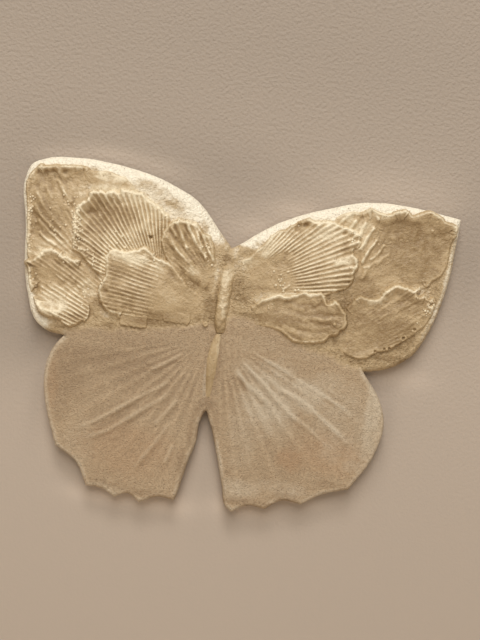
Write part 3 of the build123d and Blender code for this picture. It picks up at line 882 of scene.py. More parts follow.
def slabTree():
    # rounds the slab's edge, draws its flutes and raises the ridges between them
    tree, into, out = newTree("shapeWingSlab", "GeometryNodeTree", {
        "Geometry": None, "Ridge Lines": None, "Left Hub": None, "Right Hub": None,
        "Material": None, "Flute Depth": 0.0005, "Flute Start": 0.01, "Flute End": 0.1,
        "Left First": 0.0,
        "Left Step": 0.1, "Right First": 0.0, "Right Step": 0.1, "Flutes": 9.0,
        "Ridge Height": 0.0006, "Ridge Width": 0.002, "Sand": 0.0001, "Head Swell": 0.001,
        "Rake Depth": 0.0003,
    }, ("Geometry",))
    where = put(tree, "GeometryNodeInputPosition")[0]
    rim, glaze, rollWidth, rollDepth = (
        namedValue(tree, label) for label in ("rim", "glaze", "rollWidth", "rollDepth")
    )
    inner = ease(rim, 3 * mm, 14 * mm)
    lower = ease(glaze, 2 * mm, -6 * mm)
    grooves = []
    for side in ("Left", "Right"):
        away = vectorMaths("SUBTRACT", where, into[side + " Hub"])
        x, _, z = partsOf(away)
        bearing = maths("ARCTAN2", z, x)
        full = bearing + maths("LESS_THAN", bearing, -math.pi / 2 - 0.1) * (2 * math.pi)
        number = (full - into[side + " First"]) / into[side + " Step"]
        wave = maths("MULTIPLY_ADD", maths("COSINE", number * (2 * math.pi)), 0.5, 0.5)
        wave = maths("POWER", maths("MAXIMUM", wave, 0.0), 0.8)
        inFan = ease(number, -0.9, -0.4) * ease(number, into["Flutes"] + -0.1, into["Flutes"] - 0.6)
        reach = vectorMaths("LENGTH", away)
        span = ease(reach, into["Flute Start"], 0.035) * ease(reach, into["Flute End"], 0.088)
        groove = wave * inFan * (span * into["Flute Depth"])
        # a tool raked fine lines out of each hub
        rake = ripple(spot(full * 0.06, reach * 0.05, 0.0), 0.0022, 2.0, 24)
        rake = rake * (inFan * ease(reach, 0.012, 0.03))
        grooves.append(rake * into["Rake Depth"] + groove)
    height = (grooves[0] + grooves[1]) * -1.0 * (inner * lower)
    lines = put(tree, "GeometryNodeObjectInfo", {"Object": into["Ridge Lines"]})["Geometry"]
    feeds = {"Curve": lines, "Length": 1.5 * mm}
    lines = put(tree, "GeometryNodeResampleCurve", feeds, mode="LENGTH")[0]
    # each ridge rises slowly from the hub and dies away at its far end
    factor = put(tree, "GeometryNodeSplineParameter")["Factor"]
    marked = keepValue(tree, lines, "rise", ease(factor, 0.0, 0.15) * ease(factor, 1.0, 0.7))
    wires = put(tree, "GeometryNodeCurveToMesh", {"Curve": marked})[0]
    gap = put(tree, "GeometryNodeProximity", {0: wires}, target_element="EDGES")["Distance"]
    closest = put(tree, "GeometryNodeSampleNearest", {"Geometry": wires}, domain="POINT")[0]
    feeds = {"Geometry": wires, "Value": namedValue(tree, "rise"), "Index": closest}
    risen = put(tree, "GeometryNodeSampleIndex", feeds, data_type="FLOAT", domain="POINT")[0]
    uneven = ripple(where, 0.02, 1.0, 15) * 0.8 + 1.0
    ridge = bell(gap, into["Ridge Width"]) * into["Ridge Height"] * uneven * risen
    height = height + ridge * ease(rim, 2 * mm, 9 * mm)
    head = vectorMaths("DISTANCE", where, (0.0, -slabFace * mm, 16 * mm))
    height = bell(head, 0.009) * into["Head Swell"] + height
    sand = ripple(where, 0.0019, 3.0, 16) * (1.35 - lower * 0.6)
    height = sand * into["Sand"] + height + handUnevenness(where)
    height = height + slabFace * mm - roundedDrop(rim, rollWidth, rollDepth)
    # the ridges are washed paler, partly as painted highlight along them
    pale = bell(gap, into["Ridge Width"] * 1.3) * risen
    kept = keepValue(tree, into["Geometry"], "ridge", pale)
    finishTree(tree, liftFace(tree, kept, height), into["Material"], out)
    return tree


def padTree():
    # a thin pad with a rounded edge, pressed on to the uneven slab
    inputs = {"Geometry": None, "Height": 0.0009, "Material": None}
    tree, into, out = newTree("pressPad", "GeometryNodeTree", inputs, ("Geometry",))
    where = put(tree, "GeometryNodeInputPosition")[0]
    height = into["Height"] + ripple(where, 0.005, 2.0, 17) * (0.4 * mm)
    height = height - roundedDrop(namedValue(tree, "rim"), 0.9 * mm, into["Height"] * 0.8)
    lifted = liftFace(tree, into["Geometry"], height + handUnevenness(where) + slabFace * mm)
    finishTree(tree, lifted, into["Material"], out)
    return tree


shellTreeMade = shellTree()
slabTreeMade = slabTree()
padTreeMade = padTree()
print("shaping trees built")


# the slab

wingOutline = {
    "leftForewing": [
        (0.025, 0.065), (0.0, 0.107), (-0.036, 0.157), (-0.086, 0.226), (-0.173, 0.279),
        (-0.276, 0.305), (-0.382, 0.309), (-0.451, 0.294), (-0.484, 0.27), (-0.494, 0.227),
        (-0.478, 0.089), (-0.467, -0.029), (-0.45, -0.118), (-0.42, -0.199), (-0.397, -0.218),
        (-0.352, -0.228), (-0.30, -0.236),
    ],
    "leftHindwing": [
        (-0.322, -0.18), (-0.352, -0.226), (-0.378, -0.285), (-0.383, -0.363), (-0.364, -0.463),
        (-0.334, -0.556),
    ],
    "leftScallops": [
        [(-0.334, -0.556), (-0.283, -0.596), (-0.251, -0.663)],
        [(-0.251, -0.663), (-0.214, -0.666), (-0.182, -0.686)],
        [(-0.182, -0.686), (-0.156, -0.669), (-0.125, -0.69)],
        [(-0.125, -0.69), (-0.085, -0.666), (-0.045, -0.669)],
    ],
    "tail": [
        (-0.045, -0.669), (-0.036, -0.61), (-0.026, -0.54), (-0.016, -0.486), (-0.013, -0.42),
        (-0.004, -0.39), (0.008, -0.42), (0.033, -0.506), (0.059, -0.612), (0.07, -0.66),
        (0.088, -0.678),
    ],
    "rightScallops": [
        [(0.088, -0.678), (0.122, -0.652), (0.163, -0.655)],
        [(0.163, -0.655), (0.2, -0.622), (0.244, -0.625)],
        [(0.244, -0.625), (0.29, -0.585), (0.347, -0.56)],
    ],
    "rightHindwing": [
        (0.347, -0.56), (0.394, -0.444), (0.405, -0.348), (0.389, -0.284), (0.342, -0.204),
        (0.322, -0.16),
    ],
    "rightSide": [
        (0.29, -0.214), (0.342, -0.204), (0.395, -0.185), (0.441, -0.143), (0.482, -0.038),
        (0.504, 0.087), (0.511, 0.227), (0.513, 0.294),
    ],
    "rightTop": [
        (0.513, 0.294), (0.461, 0.302), (0.378, 0.311), (0.291, 0.303), (0.209, 0.269),
        (0.13, 0.226), (0.063, 0.171), (0.018, 0.123), (-0.002, 0.105), (-0.03, 0.078),
    ],
}
# width and depth in mm of the rounded edge, at shares of the way along each run
rolls = {
    "leftForewing": (
        [0, 0.06, 0.3, 0.46, 0.56, 0.64, 1], [7, 11, 11, 8.5, 5, 3.6, 4.0],
        [5, 5.4, 5.4, 5.2, 5, 4.5, 4.5],
    ),
    "lower": ([0, 1], [2.6, 2.6], [2.4, 2.4]),
    "rightSide": ([0, 0.3, 0.6, 1], [3.6, 4.2, 3.2, 3.6], [4.5, 4.5, 4.5, 4.5]),
    "rightTop": ([0, 0.1, 0.3, 0.8, 1], [4, 7, 8.5, 9.5, 7], [5, 5, 5.2, 5.4, 5]),
}
slabShape = {
    "spacing": 0.79, "rings": (0.15, 0.45, 0.9, 1.5, 2.2), "Flute Depth": 0.4 * mm,
    "Flute Start": 14 * mm, "Flute End": 116 * mm, "Left First": math.radians(201.0),
    "Left Step": math.radians(7.2), "Right First": math.radians(-80.0),
    "Right Step": math.radians(7.4), "Flutes": 9.0, "Ridge Height": 0.95 * mm,
    "Ridge Width": 1.75 * mm, "Sand": 0.95 * mm, "Head Swell": 1.2 * mm, "Rake Depth": 0.5 * mm,
    "leftHub": (-0.015, -0.163), "rightHub": (0.008, -0.165), "ridgeDrop": 1.9,
    "holeRadius": 4.0, "holeDepth": 6.0, "holeSides": 32,
}
# ridges raised on the lower wings, in mm
ridgeLines = [
    [(21.0, -39.8), (42.4, -47.6), (62.4, -56.4), (81.4, -64.6), (100.0, -75.4)],
    [(39.1, -59.1), (58.8, -66.3), (79.4, -79.3), (95.4, -90.4)],
    [(14.0, -44.2), (34.1, -59.8), (47.8, -72.1), (67.3, -83.6), (86.5, -98.6)],
    [(12.6, -52.0), (28.0, -64.1), (41.3, -74.0)],
    [(-21.2, -47.5), (-29.7, -53.5), (-44.2, -62.0)],
    [(-24.2, -64.5), (-42.0, -76.6), (-56.1, -87.3), (-84.5, -107.2)],
    [(-23.1, -71.5), (-49.0, -92.5), (-64.5, -104.2), (-81.4, -112.3)],
    [(-18.6, -75.3), (-26.4, -86.0), (-34.8, -98.2)],
    [(-21.8, -90.1), (-29.9, -105.3), (-43.8, -127.7)],
    [(-18.3, -105.1), (-23.5, -121.7)],
]
# lower limit of the glaze on the upper wings, in mm
glazeLine = [
    (-130, -62), (-100.8, -47.5), (-91.7, -42.9), (-75.8, -41.1), (-50.3, -38.6), (-28.4, -33.4),
    (-5.1, -29.5), (0.5, -33), (6.5, -21.8), (26.2, -22.4), (52.4, -32.3), (95.6, -43.4),
    (135, -60),
]


def wingLoop():
    step = 0.4
    runs = {}
    for name, shares in wingOutline.items():
        if "Scallops" in name:
            runs[name] = np.vstack([smoothLine(onSlab(s), step)[:-1] for s in shares])
        else:
            runs[name] = smoothLine(onSlab(shares), step)
    for first, second in (
        ("rightTop", "leftForewing"), ("leftForewing", "leftHindwing"),
        ("rightHindwing", "rightSide"),
    ):
        runs[first], runs[second] = cutAtCrossing(runs[first], runs[second])
    loop, widths, depths = [], [], []
    for name, run in runs.items():
        stops, wide, deep = rolls.get(name, rolls["lower"])
        share = np.linspace(0, 1, len(run))
        # a run that ends on the next one's first point leaves that point out
        keep = slice(0, -1) if name in ("leftHindwing", "tail", "rightSide") else slice(None)
        loop.append(run[keep])
        widths.append(np.interp(share, stops, wide)[keep])
        depths.append(np.interp(share, stops, deep)[keep])
    return np.vstack(loop), np.concatenate(widths), np.concatenate(depths)


def middlesOf(made):
    flat = np.array([tuple(v) for v in made[0]])
    return flat, np.array([flat[list(face)].mean(axis=0) for face in made[2]])


def boredBack(ring, first):
    # the flat back, with a blind hole to hang it by
    radius, depth, sides = (slabShape[key] for key in ("holeRadius", "holeDepth", "holeSides"))
    turns = np.linspace(0, 2 * math.pi, sides, endpoint=False)
    mouth = np.column_stack([np.cos(turns), np.sin(turns)]) * radius
    made = ringed(np.vstack([ring, mouth]), list(range(len(ring))))
    ids = {new: min(olds) for new, olds in enumerate(made[3])}
    _, middles = middlesOf(made)
    kept = insideLoop(middles, ring) & (np.linalg.norm(middles, axis=1) > radius * 0.98)
    faces = [[first + ids[i] for i in reversed(face)] for face, keep in zip(made[2], kept) if keep]
    verts = [(x, -y, z) for y in (0.0, depth) for x, z in mouth]
    mouthStart = first + len(ring)
    endStart = mouthStart + sides
    for i in range(sides):
        j = (i + 1) % sides
        faces.append([mouthStart + i, mouthStart + j, endStart + j, endStart + i])
    faces.append([endStart + i for i in reversed(range(sides))])
    return np.array(verts), faces


def keepInBox(mesh):
    # nothing may pass the box that the solids fill
    low, high = cadBox
    mesh.vertices.foreach_set("co", np.clip(readPlaces(mesh), tuple(low), tuple(high)).ravel())
    mesh.update()


def takePlace(piece, node, slotName):
    keepInBox(piece.data)
    spreadGlaze(piece.data, slotName == "slab_clay")
    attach(piece, "root")
    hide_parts(node)


def pressFrom(blank, tree, inputs, node, slotName, *crests):
    # shapes a blank with its tree and puts it in place of the node
    addModifier(blank, tree, inputs)
    bakeShape(blank)
    markCrests(blank, *crests)
    takePlace(blank, node, slotName)


def slabPlace(x, z):
    # a place in mm on the face of the slab, in metres
    return x * mm, -slabFace * mm, z * mm


def ridgeCurves():
    data = bpy.data.curves.new("ridgeLines", "CURVE")
    data.dimensions = "3D"
    for line in ridgeLines:
        spline = data.splines.new("BEZIER")
        spline.bezier_points.add(len(line) - 1)
        for point, (x, z) in zip(spline.bezier_points, line):
            point.co = slabPlace(x, z - slabShape["ridgeDrop"])
            point.handle_left_type = point.handle_right_type = "AUTO"
    return addObject("ridgeLines", data)


slabLoop, rollWidths, rollDepths = wingLoop()
slabNormals = loopNormals(slabLoop, 4)
nibbled = 0.05 + 0.25 * rough(slabLoop, 11, 1) + 0.12 * rough(slabLoop, 2.5, 2)
slabLoop = slabLoop - slabNormals * nibbled[:, None]


# the petals, in mm and degrees: where each one's ribs come from, its edge with how far it stands
# up there, and its folds, smooth places and gritty places as lines with a width and a height

petals = {
    "left_tip_petal": {
        "apex": (-80.1, -8.8), "turn": 135.5, "length": 80.7, "fan": (-42, 42), "lip": 2.4,
        "curl": 1, "feather": 9.5, "glaze": 0, "ribHub": (-80.1, -8.8), "ribStep": 5.25,
        "rib": 0.45, "sharp": 1.3, "start": 0.15, "wander": 0.8, "wear": 0.85, "over": [],
        "edge": [
            (-136.5, 44.4, 2.2), (-134.8, 50.5, 3.2), (-132.2, 54.7, 3.2), (-130, 57.3, 5.4),
            (-128.9, 58.5, 5.6), (-126.3, 58.1, 5.5), (-124.3, 57.9, 5.3), (-121.8, 58.9, 5.3),
            (-116.8, 59.6, 5.2), (-110.4, 60.3, 5.1), (-104, 60.9, 4), (-98.8, 60.7, 2),
            (-96.6, 59.1, 1.6), (-94.6, 58.7, 1.6), (-90.8, 59.3, 1.5), (-87, 59.6, 1.4),
            (-83, 59.2, 1.4), (-77.7, 58, 1.2), (-74.3, 57.2, 1), (-70, 54.3, 0.7),
            (-64.9, 50.6, 0.4), (-62.9, 45.7, 0.4), (-65.7, 38.8, 0.4), (-72, 28.8, 0.4),
            (-80.4, 15.8, 0.4), (-87.8, 4.4, 0.4), (-94.4, -3.1, 0.4), (-106.7, -7.5, 0.6),
            (-118.3, -8, 0.8), (-125.7, -6.5, 1.2), (-128.7, -1.7, 1.6), (-129.6, 3.3, 1.9),
            (-130.9, 8.3, 1.8), (-131.2, 14.7, 2), (-132.6, 21, 1.9), (-133, 27.4, 2.1),
            (-134.5, 33.7, 2), (-135.5, 38.7, 2.1),
        ],
        "folds": [
            ([(-123.4, 52.2), (-112.2, 55.1), (-101.9, 55.4)], 6, -0.7),
            ([(-129.4, 31.2), (-124.5, 15.7)], 4, -0.6),
            ([(-129.9, 43.4), (-114.9, 47), (-95.9, 49.8)], 6, -0.9),
            ([(-130.5, 34.3), (-127.4, 14)], 3, -0.8),
            ([(-127.4, 52.9), (-116.1, 55.2), (-103.3, 56.5)], 4, -1.2),
            ([(-116.5, 49.3), (-113.3, 45.3), (-108.6, 39.5), (-105.6, 36.7)], 1.28, 1.1),
            ([(-128, 39.2), (-123, 32.1)], 1.2, 0.76),
            ([(-124.2, 22.3), (-116.8, 16.2), (-108, 9.8)], 1.04, 0.76),
            ([(-123, 14.7), (-117.9, 10.9), (-112.3, 7.8)], 0.96, 0.68),
            ([(-117.2, 19.4), (-110.2, 15.3), (-104.4, 11.6)], 0.96, 0.6),
            ([(-128.1, 31.4), (-123.3, 25), (-116, 19.6)], 1.04, 0.51),
            ([(-109.1, 34.2), (-103, 28), (-98.2, 22.2)], 1.28, 0.51), ([(-84.2, 49.6)], 8, 1),
            ([(-122.9, 44.5), (-118.6, 37.3)], 1.28, 0.51),
            ([(-100.2, 53), (-96.8, 47.1)], 2.4, -0.7), ([(-114.2, 51), (-121.9, 50.5)], 5, -0.6),
        ],
        "plain": [([(-89.9, 53.3), (-73.1, 49.3)], 10, 1)],
        "grit": [
            ([(-132.2, 37.3), (-130.3, 20), (-127, 2.4)], 2.2, 0.8),
            ([(-113.7, 39.4), (-105.2, 34.2)], 3.5, 0.35), ([(-120.9, 26.6), (-113.4, 20)], 4, 0.2),
            ([(-101.7, 41.2)], 2.2, 0.8), ([(-87.8, 56.2), (-75.8, 54.1)], 3, 0.12),
        ],
    },
    "left_outer_petal": {
        "apex": (-43.7, -40.2), "turn": 158.5, "length": 92.9, "fan": (-26, 26), "lip": 2.6,
        "curl": 1, "feather": 8, "glaze": -0.02, "ribHub": (55.1, -93.5), "ribStep": 0.86,
        "rib": 0.95, "sharp": 1.5, "start": 0.3, "wander": 0.7, "wear": 0.4,
        "over": ["left_tip_petal"],
        "edge": [
            (-130, -5.8, 3.2), (-128.1, -3.3, 5), (-125, -2.4, 5.1), (-123.8, -1.5, 4.9),
            (-122.2, 0.5, 5.1), (-120.6, 3, 5.4), (-118.3, 5, 5.5), (-115.3, 6.4, 5.5),
            (-112.7, 6.5, 5.3), (-110, 5.5, 5.1), (-107.9, 4.7, 4.9), (-106.6, 4.7, 6),
            (-105.4, 3.2, 5.7), (-103.1, 2.6, 4.3), (-99.6, 1.2, 4.1), (-96.5, 1.8, 3.6),
            (-92.5, 1.1, 1), (-87, -0.7, 0.8), (-81.4, -3.7, 0.8), (-76.9, -7.6, 0.8),
            (-73.4, -13.6, 0.6), (-70.9, -21.6, 0), (-72.4, -29, -0.4), (-77.4, -34.9, -0.4),
            (-81.4, -38.1, -0.3), (-85.2, -38.7, 0.4), (-87.3, -37.7, 1.4), (-89, -39.3, 1.8),
            (-91.3, -41.5, 2.1), (-93.7, -42.5, 2.3), (-97, -42.4, 2.4), (-99.7, -41.5, 2.5),
            (-102, -39.2, 3), (-104.6, -39, 3.9), (-108.5, -38.9, 4.6), (-111.9, -37.8, 4.8),
            (-115.8, -36.1, 4.6), (-118.5, -32.6, 4.2), (-120.4, -29, 3.4), (-121.3, -27.2, 2.4),
            (-118.9, -25.6, 0.8), (-119.5, -24, 0.8), (-123.1, -23.9, 2), (-124.4, -21.2, 2.5),
            (-125.4, -18.1, 2.6), (-126.5, -14.4, 2.6), (-128.1, -9.4, 2.9),
        ],
        "folds": [
            ([(-122.1, -17.6), (-105.4, -16.4), (-87.1, -17.6)], 7, -1),
            ([(-114.9, -30.8), (-103.3, -30.3)], 4.5, 1.2),
            ([(-111.4, -36.7), (-100.9, -37.8)], 2.5, -0.8),
            ([(-115.8, -33.5), (-109.1, -35.1), (-102.6, -35.4)], 3.2, 1.3),
            ([(-114.1, -27.4), (-102.3, -28.3)], 2.6, -0.6),
            ([(-122.3, -7.3), (-115.1, -3.6)], 4, 0.5), ([(-105, -2.1), (-99.3, -5.1)], 3.5, -0.5),
            ([(-121.1, -23.9)], 1.6, -1.6), ([(-86.5, -21.4), (-80.5, -26.9)], 3, -0.5),
        ],
        "plain": [
            ([(-121.8, -11.1), (-112.4, -12.9)], 6.5, 1.2),
            ([(-113.8, -30), (-103.4, -29.7)], 5, 1.1), ([(-87.7, -4.7), (-83.6, -23.5)], 6, 0.8),
            ([(-108.4, 3.9), (-114.4, 0.4)], 3, 1),
        ],
        "grit": [
            ([(-106.8, 1.5), (-97.4, -0.9)], 2.2, 0.35), ([(-86.2, -23.9), (-81.4, -29.7)], 4, 0.2),
            ([(-123.4, -8.7), (-120.6, -18.7)], 2.5, 0.2),
        ],
    },
    "left_middle_petal": {
        "apex": (-40, -15.6), "turn": 121.5, "length": 77.5, "fan": (-32, 42), "lip": 2.6,
        "curl": 1, "feather": 9.5, "glaze": 0, "ribHub": (-40, -15.6), "ribStep": 2.74, "rib": 0.95,
        "sharp": 1.7, "start": 0.12, "wander": 0.7, "wear": 0.4,
        "over": ["left_tip_petal", "left_outer_petal"],
        "edge": [
            (-100.4, 6.4, 2.6), (-102, 12.6, 2.8), (-102, 17.8, 4.2), (-103.6, 24, 4.4),
            (-103.5, 27.9, 4.6), (-102.8, 32.2, 5), (-101.9, 35.8, 5.2), (-99, 38.3, 5.4),
            (-96.4, 41.2, 5.7), (-95.6, 44.4, 5.9), (-92.8, 46.7, 5.7), (-90.2, 46.7, 5.5),
            (-88.4, 47.4, 5.6), (-85.8, 47.3, 5.3), (-83.9, 47.7, 5.5), (-81.4, 48.4, 5.3),
            (-78.9, 48.8, 5.1), (-76.8, 48, 4.5), (-75.8, 49.6, 5), (-73.3, 50.3, 5.2),
            (-70, 50.1, 4.3), (-66.7, 49.6, 4.1), (-63.4, 49.5, 4), (-61.1, 49.7, 3.8),
            (-58.6, 47.5, 3.5), (-55.7, 45.4, 3.5), (-53, 44.4, 3.5), (-50.3, 42.9, 3.3),
            (-48.7, 41.8, 3.5), (-46.5, 40.2, 3.5), (-44.3, 38.5, 3.3), (-41.9, 36, 2.8),
            (-41.4, 32, 2.2), (-38.3, 28.6, 1), (-36.1, 22.5, 0.8), (-37.5, 14.5, 0.8),
            (-42.8, 6.6, 0.6), (-51.2, 2.1, 0.6), (-61.1, -0.7, 0.6), (-69.8, -3.3, 0.8),
            (-75.8, -6.8, 1.2), (-81.6, -6.7, 3), (-85.1, -5.2, 3.2), (-88.7, -2.5, 3.4),
            (-92.4, 0.8, 3.4), (-95.5, 4.2, 3.4), (-97.9, 5.1, 2.4),
        ],
        "folds": [
            ([(-92, 32.3), (-79.1, 32.9)], 6, -0.3),
            ([(-93.7, 26.8), (-79.6, 27.6), (-65.7, 29.7)], 8, -0.8),
            ([(-85.3, 0.9), (-76.4, 6.1)], 6, 0.8),
            ([(-96.3, 35.5), (-89.1, 39.2), (-79.9, 38)], 6, -0.6),
            ([(-84.2, 15.3), (-69.1, 22.7), (-60, 26.7)], 9, 1),
            ([(-93.1, 39.9), (-88.8, 32.7)], 7, -0.4), ([(-63.4, 40.4), (-57.4, 34.8)], 7.5, 0.7),
            ([(-52.1, 21.4)], 1.1, -1.5), ([(-75.7, 45), (-75.4, 38.6)], 2, -0.8),
            ([(-97.3, 25), (-94.4, 13.8)], 3.5, 0.6), ([(-54.8, 13.2)], 4, -0.6),
        ],
        "plain": [
            ([(-96.4, 36.1), (-91.7, 30.4)], 5, 0.25), ([(-70, 7), (-61.1, 12.2)], 5, 0.6),
        ],
        "grit": [
            ([(-100.6, 33.6), (-99.9, 20.7), (-97.6, 9.4)], 3.2, 1),
            ([(-93.4, 7.4), (-84.5, -0.3)], 2.4, 0.7), ([(-77, 18.9), (-64.7, 14.3)], 4.5, 0.25),
            ([(-56.3, 45.4), (-49.1, 40)], 2.5, 0.3),
        ],
    },
    "left_shoulder_petal": {
        "apex": (-4.2, -18.2), "turn": 118.5, "length": 62.8, "fan": (-22, 32), "lip": 3.8,
        "curl": 1, "feather": 4.5, "glaze": 0.02, "ribHub": (6.9, -17.8), "ribStep": 2.9,
        "rib": 0.3, "sharp": 1.1, "start": 0.25, "wander": 0.6, "wear": 0.7,
        "over": ["left_middle_petal"],
        "edge": [
            (-46.3, 20.9, 3), (-46.1, 23.6, 3.8), (-45.7, 26, 4), (-43.2, 31.1, 4.4),
            (-40.8, 33.8, 4.8), (-38, 35.5, 5), (-35.6, 36.9, 5.2), (-33.6, 36.6, 5.1),
            (-30.4, 36.4, 5), (-27.7, 36.1, 4.8), (-24.7, 35.8, 4.4), (-22.2, 34, 3.4),
            (-20.6, 32.2, 3), (-19, 29.6, 2.6), (-17.3, 29.2, 2.8), (-15, 28.9, 2.8),
            (-13.2, 26.3, 2.4), (-11.5, 23.8, 2), (-10.2, 19.9, 1.6), (-9.4, 15.4, 1.2),
            (-7.9, 11.8, 0.8), (-6, 7.5, 0.3), (-3.9, 2, -0.2), (-3.6, -3.8, -0.4),
            (-6.7, -9.4, -0.4), (-12.2, -11.5, -0.3), (-18.4, -9.2, 0), (-25.6, -4.5, 0.6),
            (-32.9, 1.6, 1.2), (-39, 7.1, 1.6), (-42.2, 11.2, 2), (-43.7, 13.6, 2.2),
            (-44.9, 17.3, 2.6),
        ],
        "folds": [
            ([(-30.1, 0), (-21.8, -3.9)], 3, -0.9),
            ([(-41.3, 23), (-36, 17.9), (-30.1, 13), (-25.8, 9.8)], 2.1, 1.95),
            ([(-36.2, 32.2), (-31.8, 24.4), (-28.3, 18.4)], 1.7, 1.8),
            ([(-30.1, 34.4), (-26.4, 27.1), (-19.1, 17.2)], 1.6, 1.95),
            ([(-24.5, 32), (-21.5, 24.6), (-15.4, 13.9)], 1.3, 1.5),
            ([(-19.5, 28.8), (-16.7, 22.8), (-10.7, 13.3)], 1.3, 1.5),
            ([(-39.1, 29.8), (-36.5, 25)], 1.3, 1.2),
            ([(-27.7, 9.5), (-20.2, 2.8), (-14.2, -2.8)], 2.6, 0.6),
            ([(-34, 8.5), (-28, 2.9)], 1.8, -0.8),
        ],
        "plain": [([(-17.1, -0.6), (-10.4, 6.9)], 8, 1)],
        "grit": [
            ([(-15.2, 21.7), (-11.2, 11.9)], 2.5, 0.4), ([(-42.8, 24.1), (-41.5, 15.2)], 2, 0.2),
        ],
    },
    "left_inner_petal": {
        "apex": (-6.7, -17.1), "turn": 169.5, "length": 73, "fan": (-28, 28), "lip": 4.6, "curl": 1,
        "feather": 5.5, "glaze": 0, "ribHub": (118, -37.4), "ribStep": 0.81, "rib": 0.65,
        "sharp": 1.4, "start": 0.42, "wander": 0.6, "wear": 0.5,
        "over": ["left_middle_petal", "left_outer_petal", "left_shoulder_petal"],
        "edge": [
            (-80, 3.6, 4.3), (-79.1, 6.7, 3.9), (-77.9, 9.1, 3.7), (-75.8, 10.8, 3.6),
            (-73.4, 11.8, 3.6), (-70.1, 11.7, 3.6), (-66.2, 11.7, 3.7), (-63.7, 12.3, 3.9),
            (-61.2, 13, 4), (-58.2, 14.2, 4.3), (-55.8, 15.9, 4.6), (-53.6, 15.8, 4.7),
            (-51.3, 14.5, 4.7), (-49.2, 13.4, 4.6), (-46.9, 11.6, 4.5), (-45.5, 10.2, 4.4),
            (-43.1, 9.9, 4.4), (-40.2, 9, 3.4), (-37.2, 8.1, 3.3), (-35, 6.4, 3.2),
            (-32.7, 4.2, 3.1), (-30.4, 1.9, 3), (-27.9, -0.4, 2.8), (-25, -4.1, 1.5),
            (-22, -6.5, 1.2), (-18.5, -8.6, 0.9), (-14.9, -10.7, 0.5), (-10, -13.2, 0),
            (-5.6, -16.4, -0.3), (-5.6, -20.9, -0.4), (-9.8, -23.5, -0.2), (-15.3, -25.6, 0.2),
            (-20.8, -27.7, 0.2), (-27.1, -28.8, 0.3), (-34.8, -29.6, 0.5), (-39.9, -30.1, 0.6),
            (-43.7, -30.2, 0.7), (-47, -30.3, 0.7), (-52.7, -31.2, 0.8), (-57.7, -32, 0.8),
            (-62.8, -32.7, 0.8), (-65.8, -32.6, 1), (-66.6, -30.9, 2.3), (-68.5, -31, 2.6),
            (-71.4, -30.1, 2.8), (-74.3, -28.6, 3), (-76.7, -26.7, 3.1), (-79.4, -22.6, 4.3),
            (-80.3, -20.4, 4.4), (-80.6, -18.5, 4.4), (-81.5, -16.7, 4.5), (-81, -14.4, 4.5),
            (-80.3, -12.3, 4.6), (-79.3, -10.2, 4.6), (-78.9, -8.4, 4.7), (-78.1, -5.2, 4.7),
            (-78.2, -2.2, 4.6), (-79, 1.1, 4.6),
        ],
        "folds": [
            ([(-74.8, -22.2), (-60.2, -23.9)], 6, -1), ([(-72.5, -11.5), (-65, -5.2)], 5, -0.7),
            ([(-72.5, -11.5), (-54.5, -10.1), (-41.5, -10.7)], 7, 0.8),
            ([(-72.7, 7.3), (-63.7, 8), (-54.7, 8.7)], 3.4, 0.9), ([(-76.9, -16.7)], 2.8, -1.5),
            ([(-45, 4.3), (-36.5, -0.9), (-29.2, -6.3)], 3.2, 0.6),
            ([(-74.6, -23.5), (-66.4, -26.1)], 2.6, 0.5), ([(-49.2, 6.3), (-52.2, 0.6)], 2.2, -0.5),
        ],
        "plain": [
            ([(-73.4, 7.8), (-57.1, 7)], 4, 0.9), ([(-77.6, -16.1), (-76.6, -9.5)], 4, 0.9),
            ([(-70.8, -22.9), (-62, -25.5)], 3, 0.6),
        ],
        "grit": [
            ([(-77.9, -9.7), (-78.9, -16.3)], 2.4, 0.45), ([(-51.4, 12.4), (-44.1, 7)], 2.2, 0.3),
            ([(-78.3, 1.9), (-76.4, 6.1)], 1.8, 0.25),
        ],
    },
    "right_tip_petal": {
        "apex": (75.9, 6.8), "turn": 46.5, "length": 81.4, "fan": (-38, 42), "lip": 2.1, "curl": 1,
        "feather": 9, "glaze": 0.04, "ribHub": (75.9, 6.8), "ribStep": 5.3, "rib": 0.3,
        "sharp": 1.4, "start": 0.1, "wander": 0.8, "wear": 0.95, "over": [],
        "edge": [
            (62.8, 45.7, 0.2), (62.3, 49.5, 0.2), (65.5, 53.5, 0.5), (70.3, 56.1, 0.9),
            (74.7, 57.4, 1.5), (77.9, 57.4, 2.2), (80.3, 58.5, 2.9), (82.6, 60.5, 3.3),
            (84.4, 61.3, 3.9), (87.2, 60.3, 2.6), (89.9, 59.4, 2.5), (93.2, 58.9, 3.4),
            (95.8, 59, 3.4), (98.2, 60.3, 3.6), (100.6, 61.9, 4.7), (103, 62.9, 4.9),
            (106.1, 63.8, 4.9), (108.5, 63.3, 4.8), (110.1, 61.5, 3.2), (111.7, 60.8, 3),
            (114.1, 62, 3.3), (115.9, 63.3, 3.5), (118.3, 64.3, 3.6), (120.8, 65.3, 3.7),
            (123.4, 65, 3.6), (126.1, 64.1, 4.3), (129.2, 63, 4.2), (131.4, 61.9, 4.1),
            (133.2, 60.2, 3.9), (135.2, 59.7, 3.8), (137.9, 59.3, 3.7), (141.1, 57.9, 3.1),
            (142.2, 54.7, 2.9), (141.4, 51.2, 1.2), (139.8, 48.2, 1.7), (139, 45, 1.6),
            (138.7, 42, 1.6), (138.6, 38.7, 1.5), (138.4, 35.5, 1.5), (138.2, 32.2, 1.5),
            (137.4, 28.6, 1.5), (135.9, 24.8, 1.6), (133.7, 22.3, 1.7), (130.3, 19.2, 1.9),
            (129.3, 17.2, 1.7), (123.9, 14, 1), (117.6, 8.5, 0.6), (108.9, 2, 0.4),
            (99.7, -1.9, 0.3), (90.2, -3.4, 0.2), (81.7, -2.7, 0), (76.5, 1.7, 0.1),
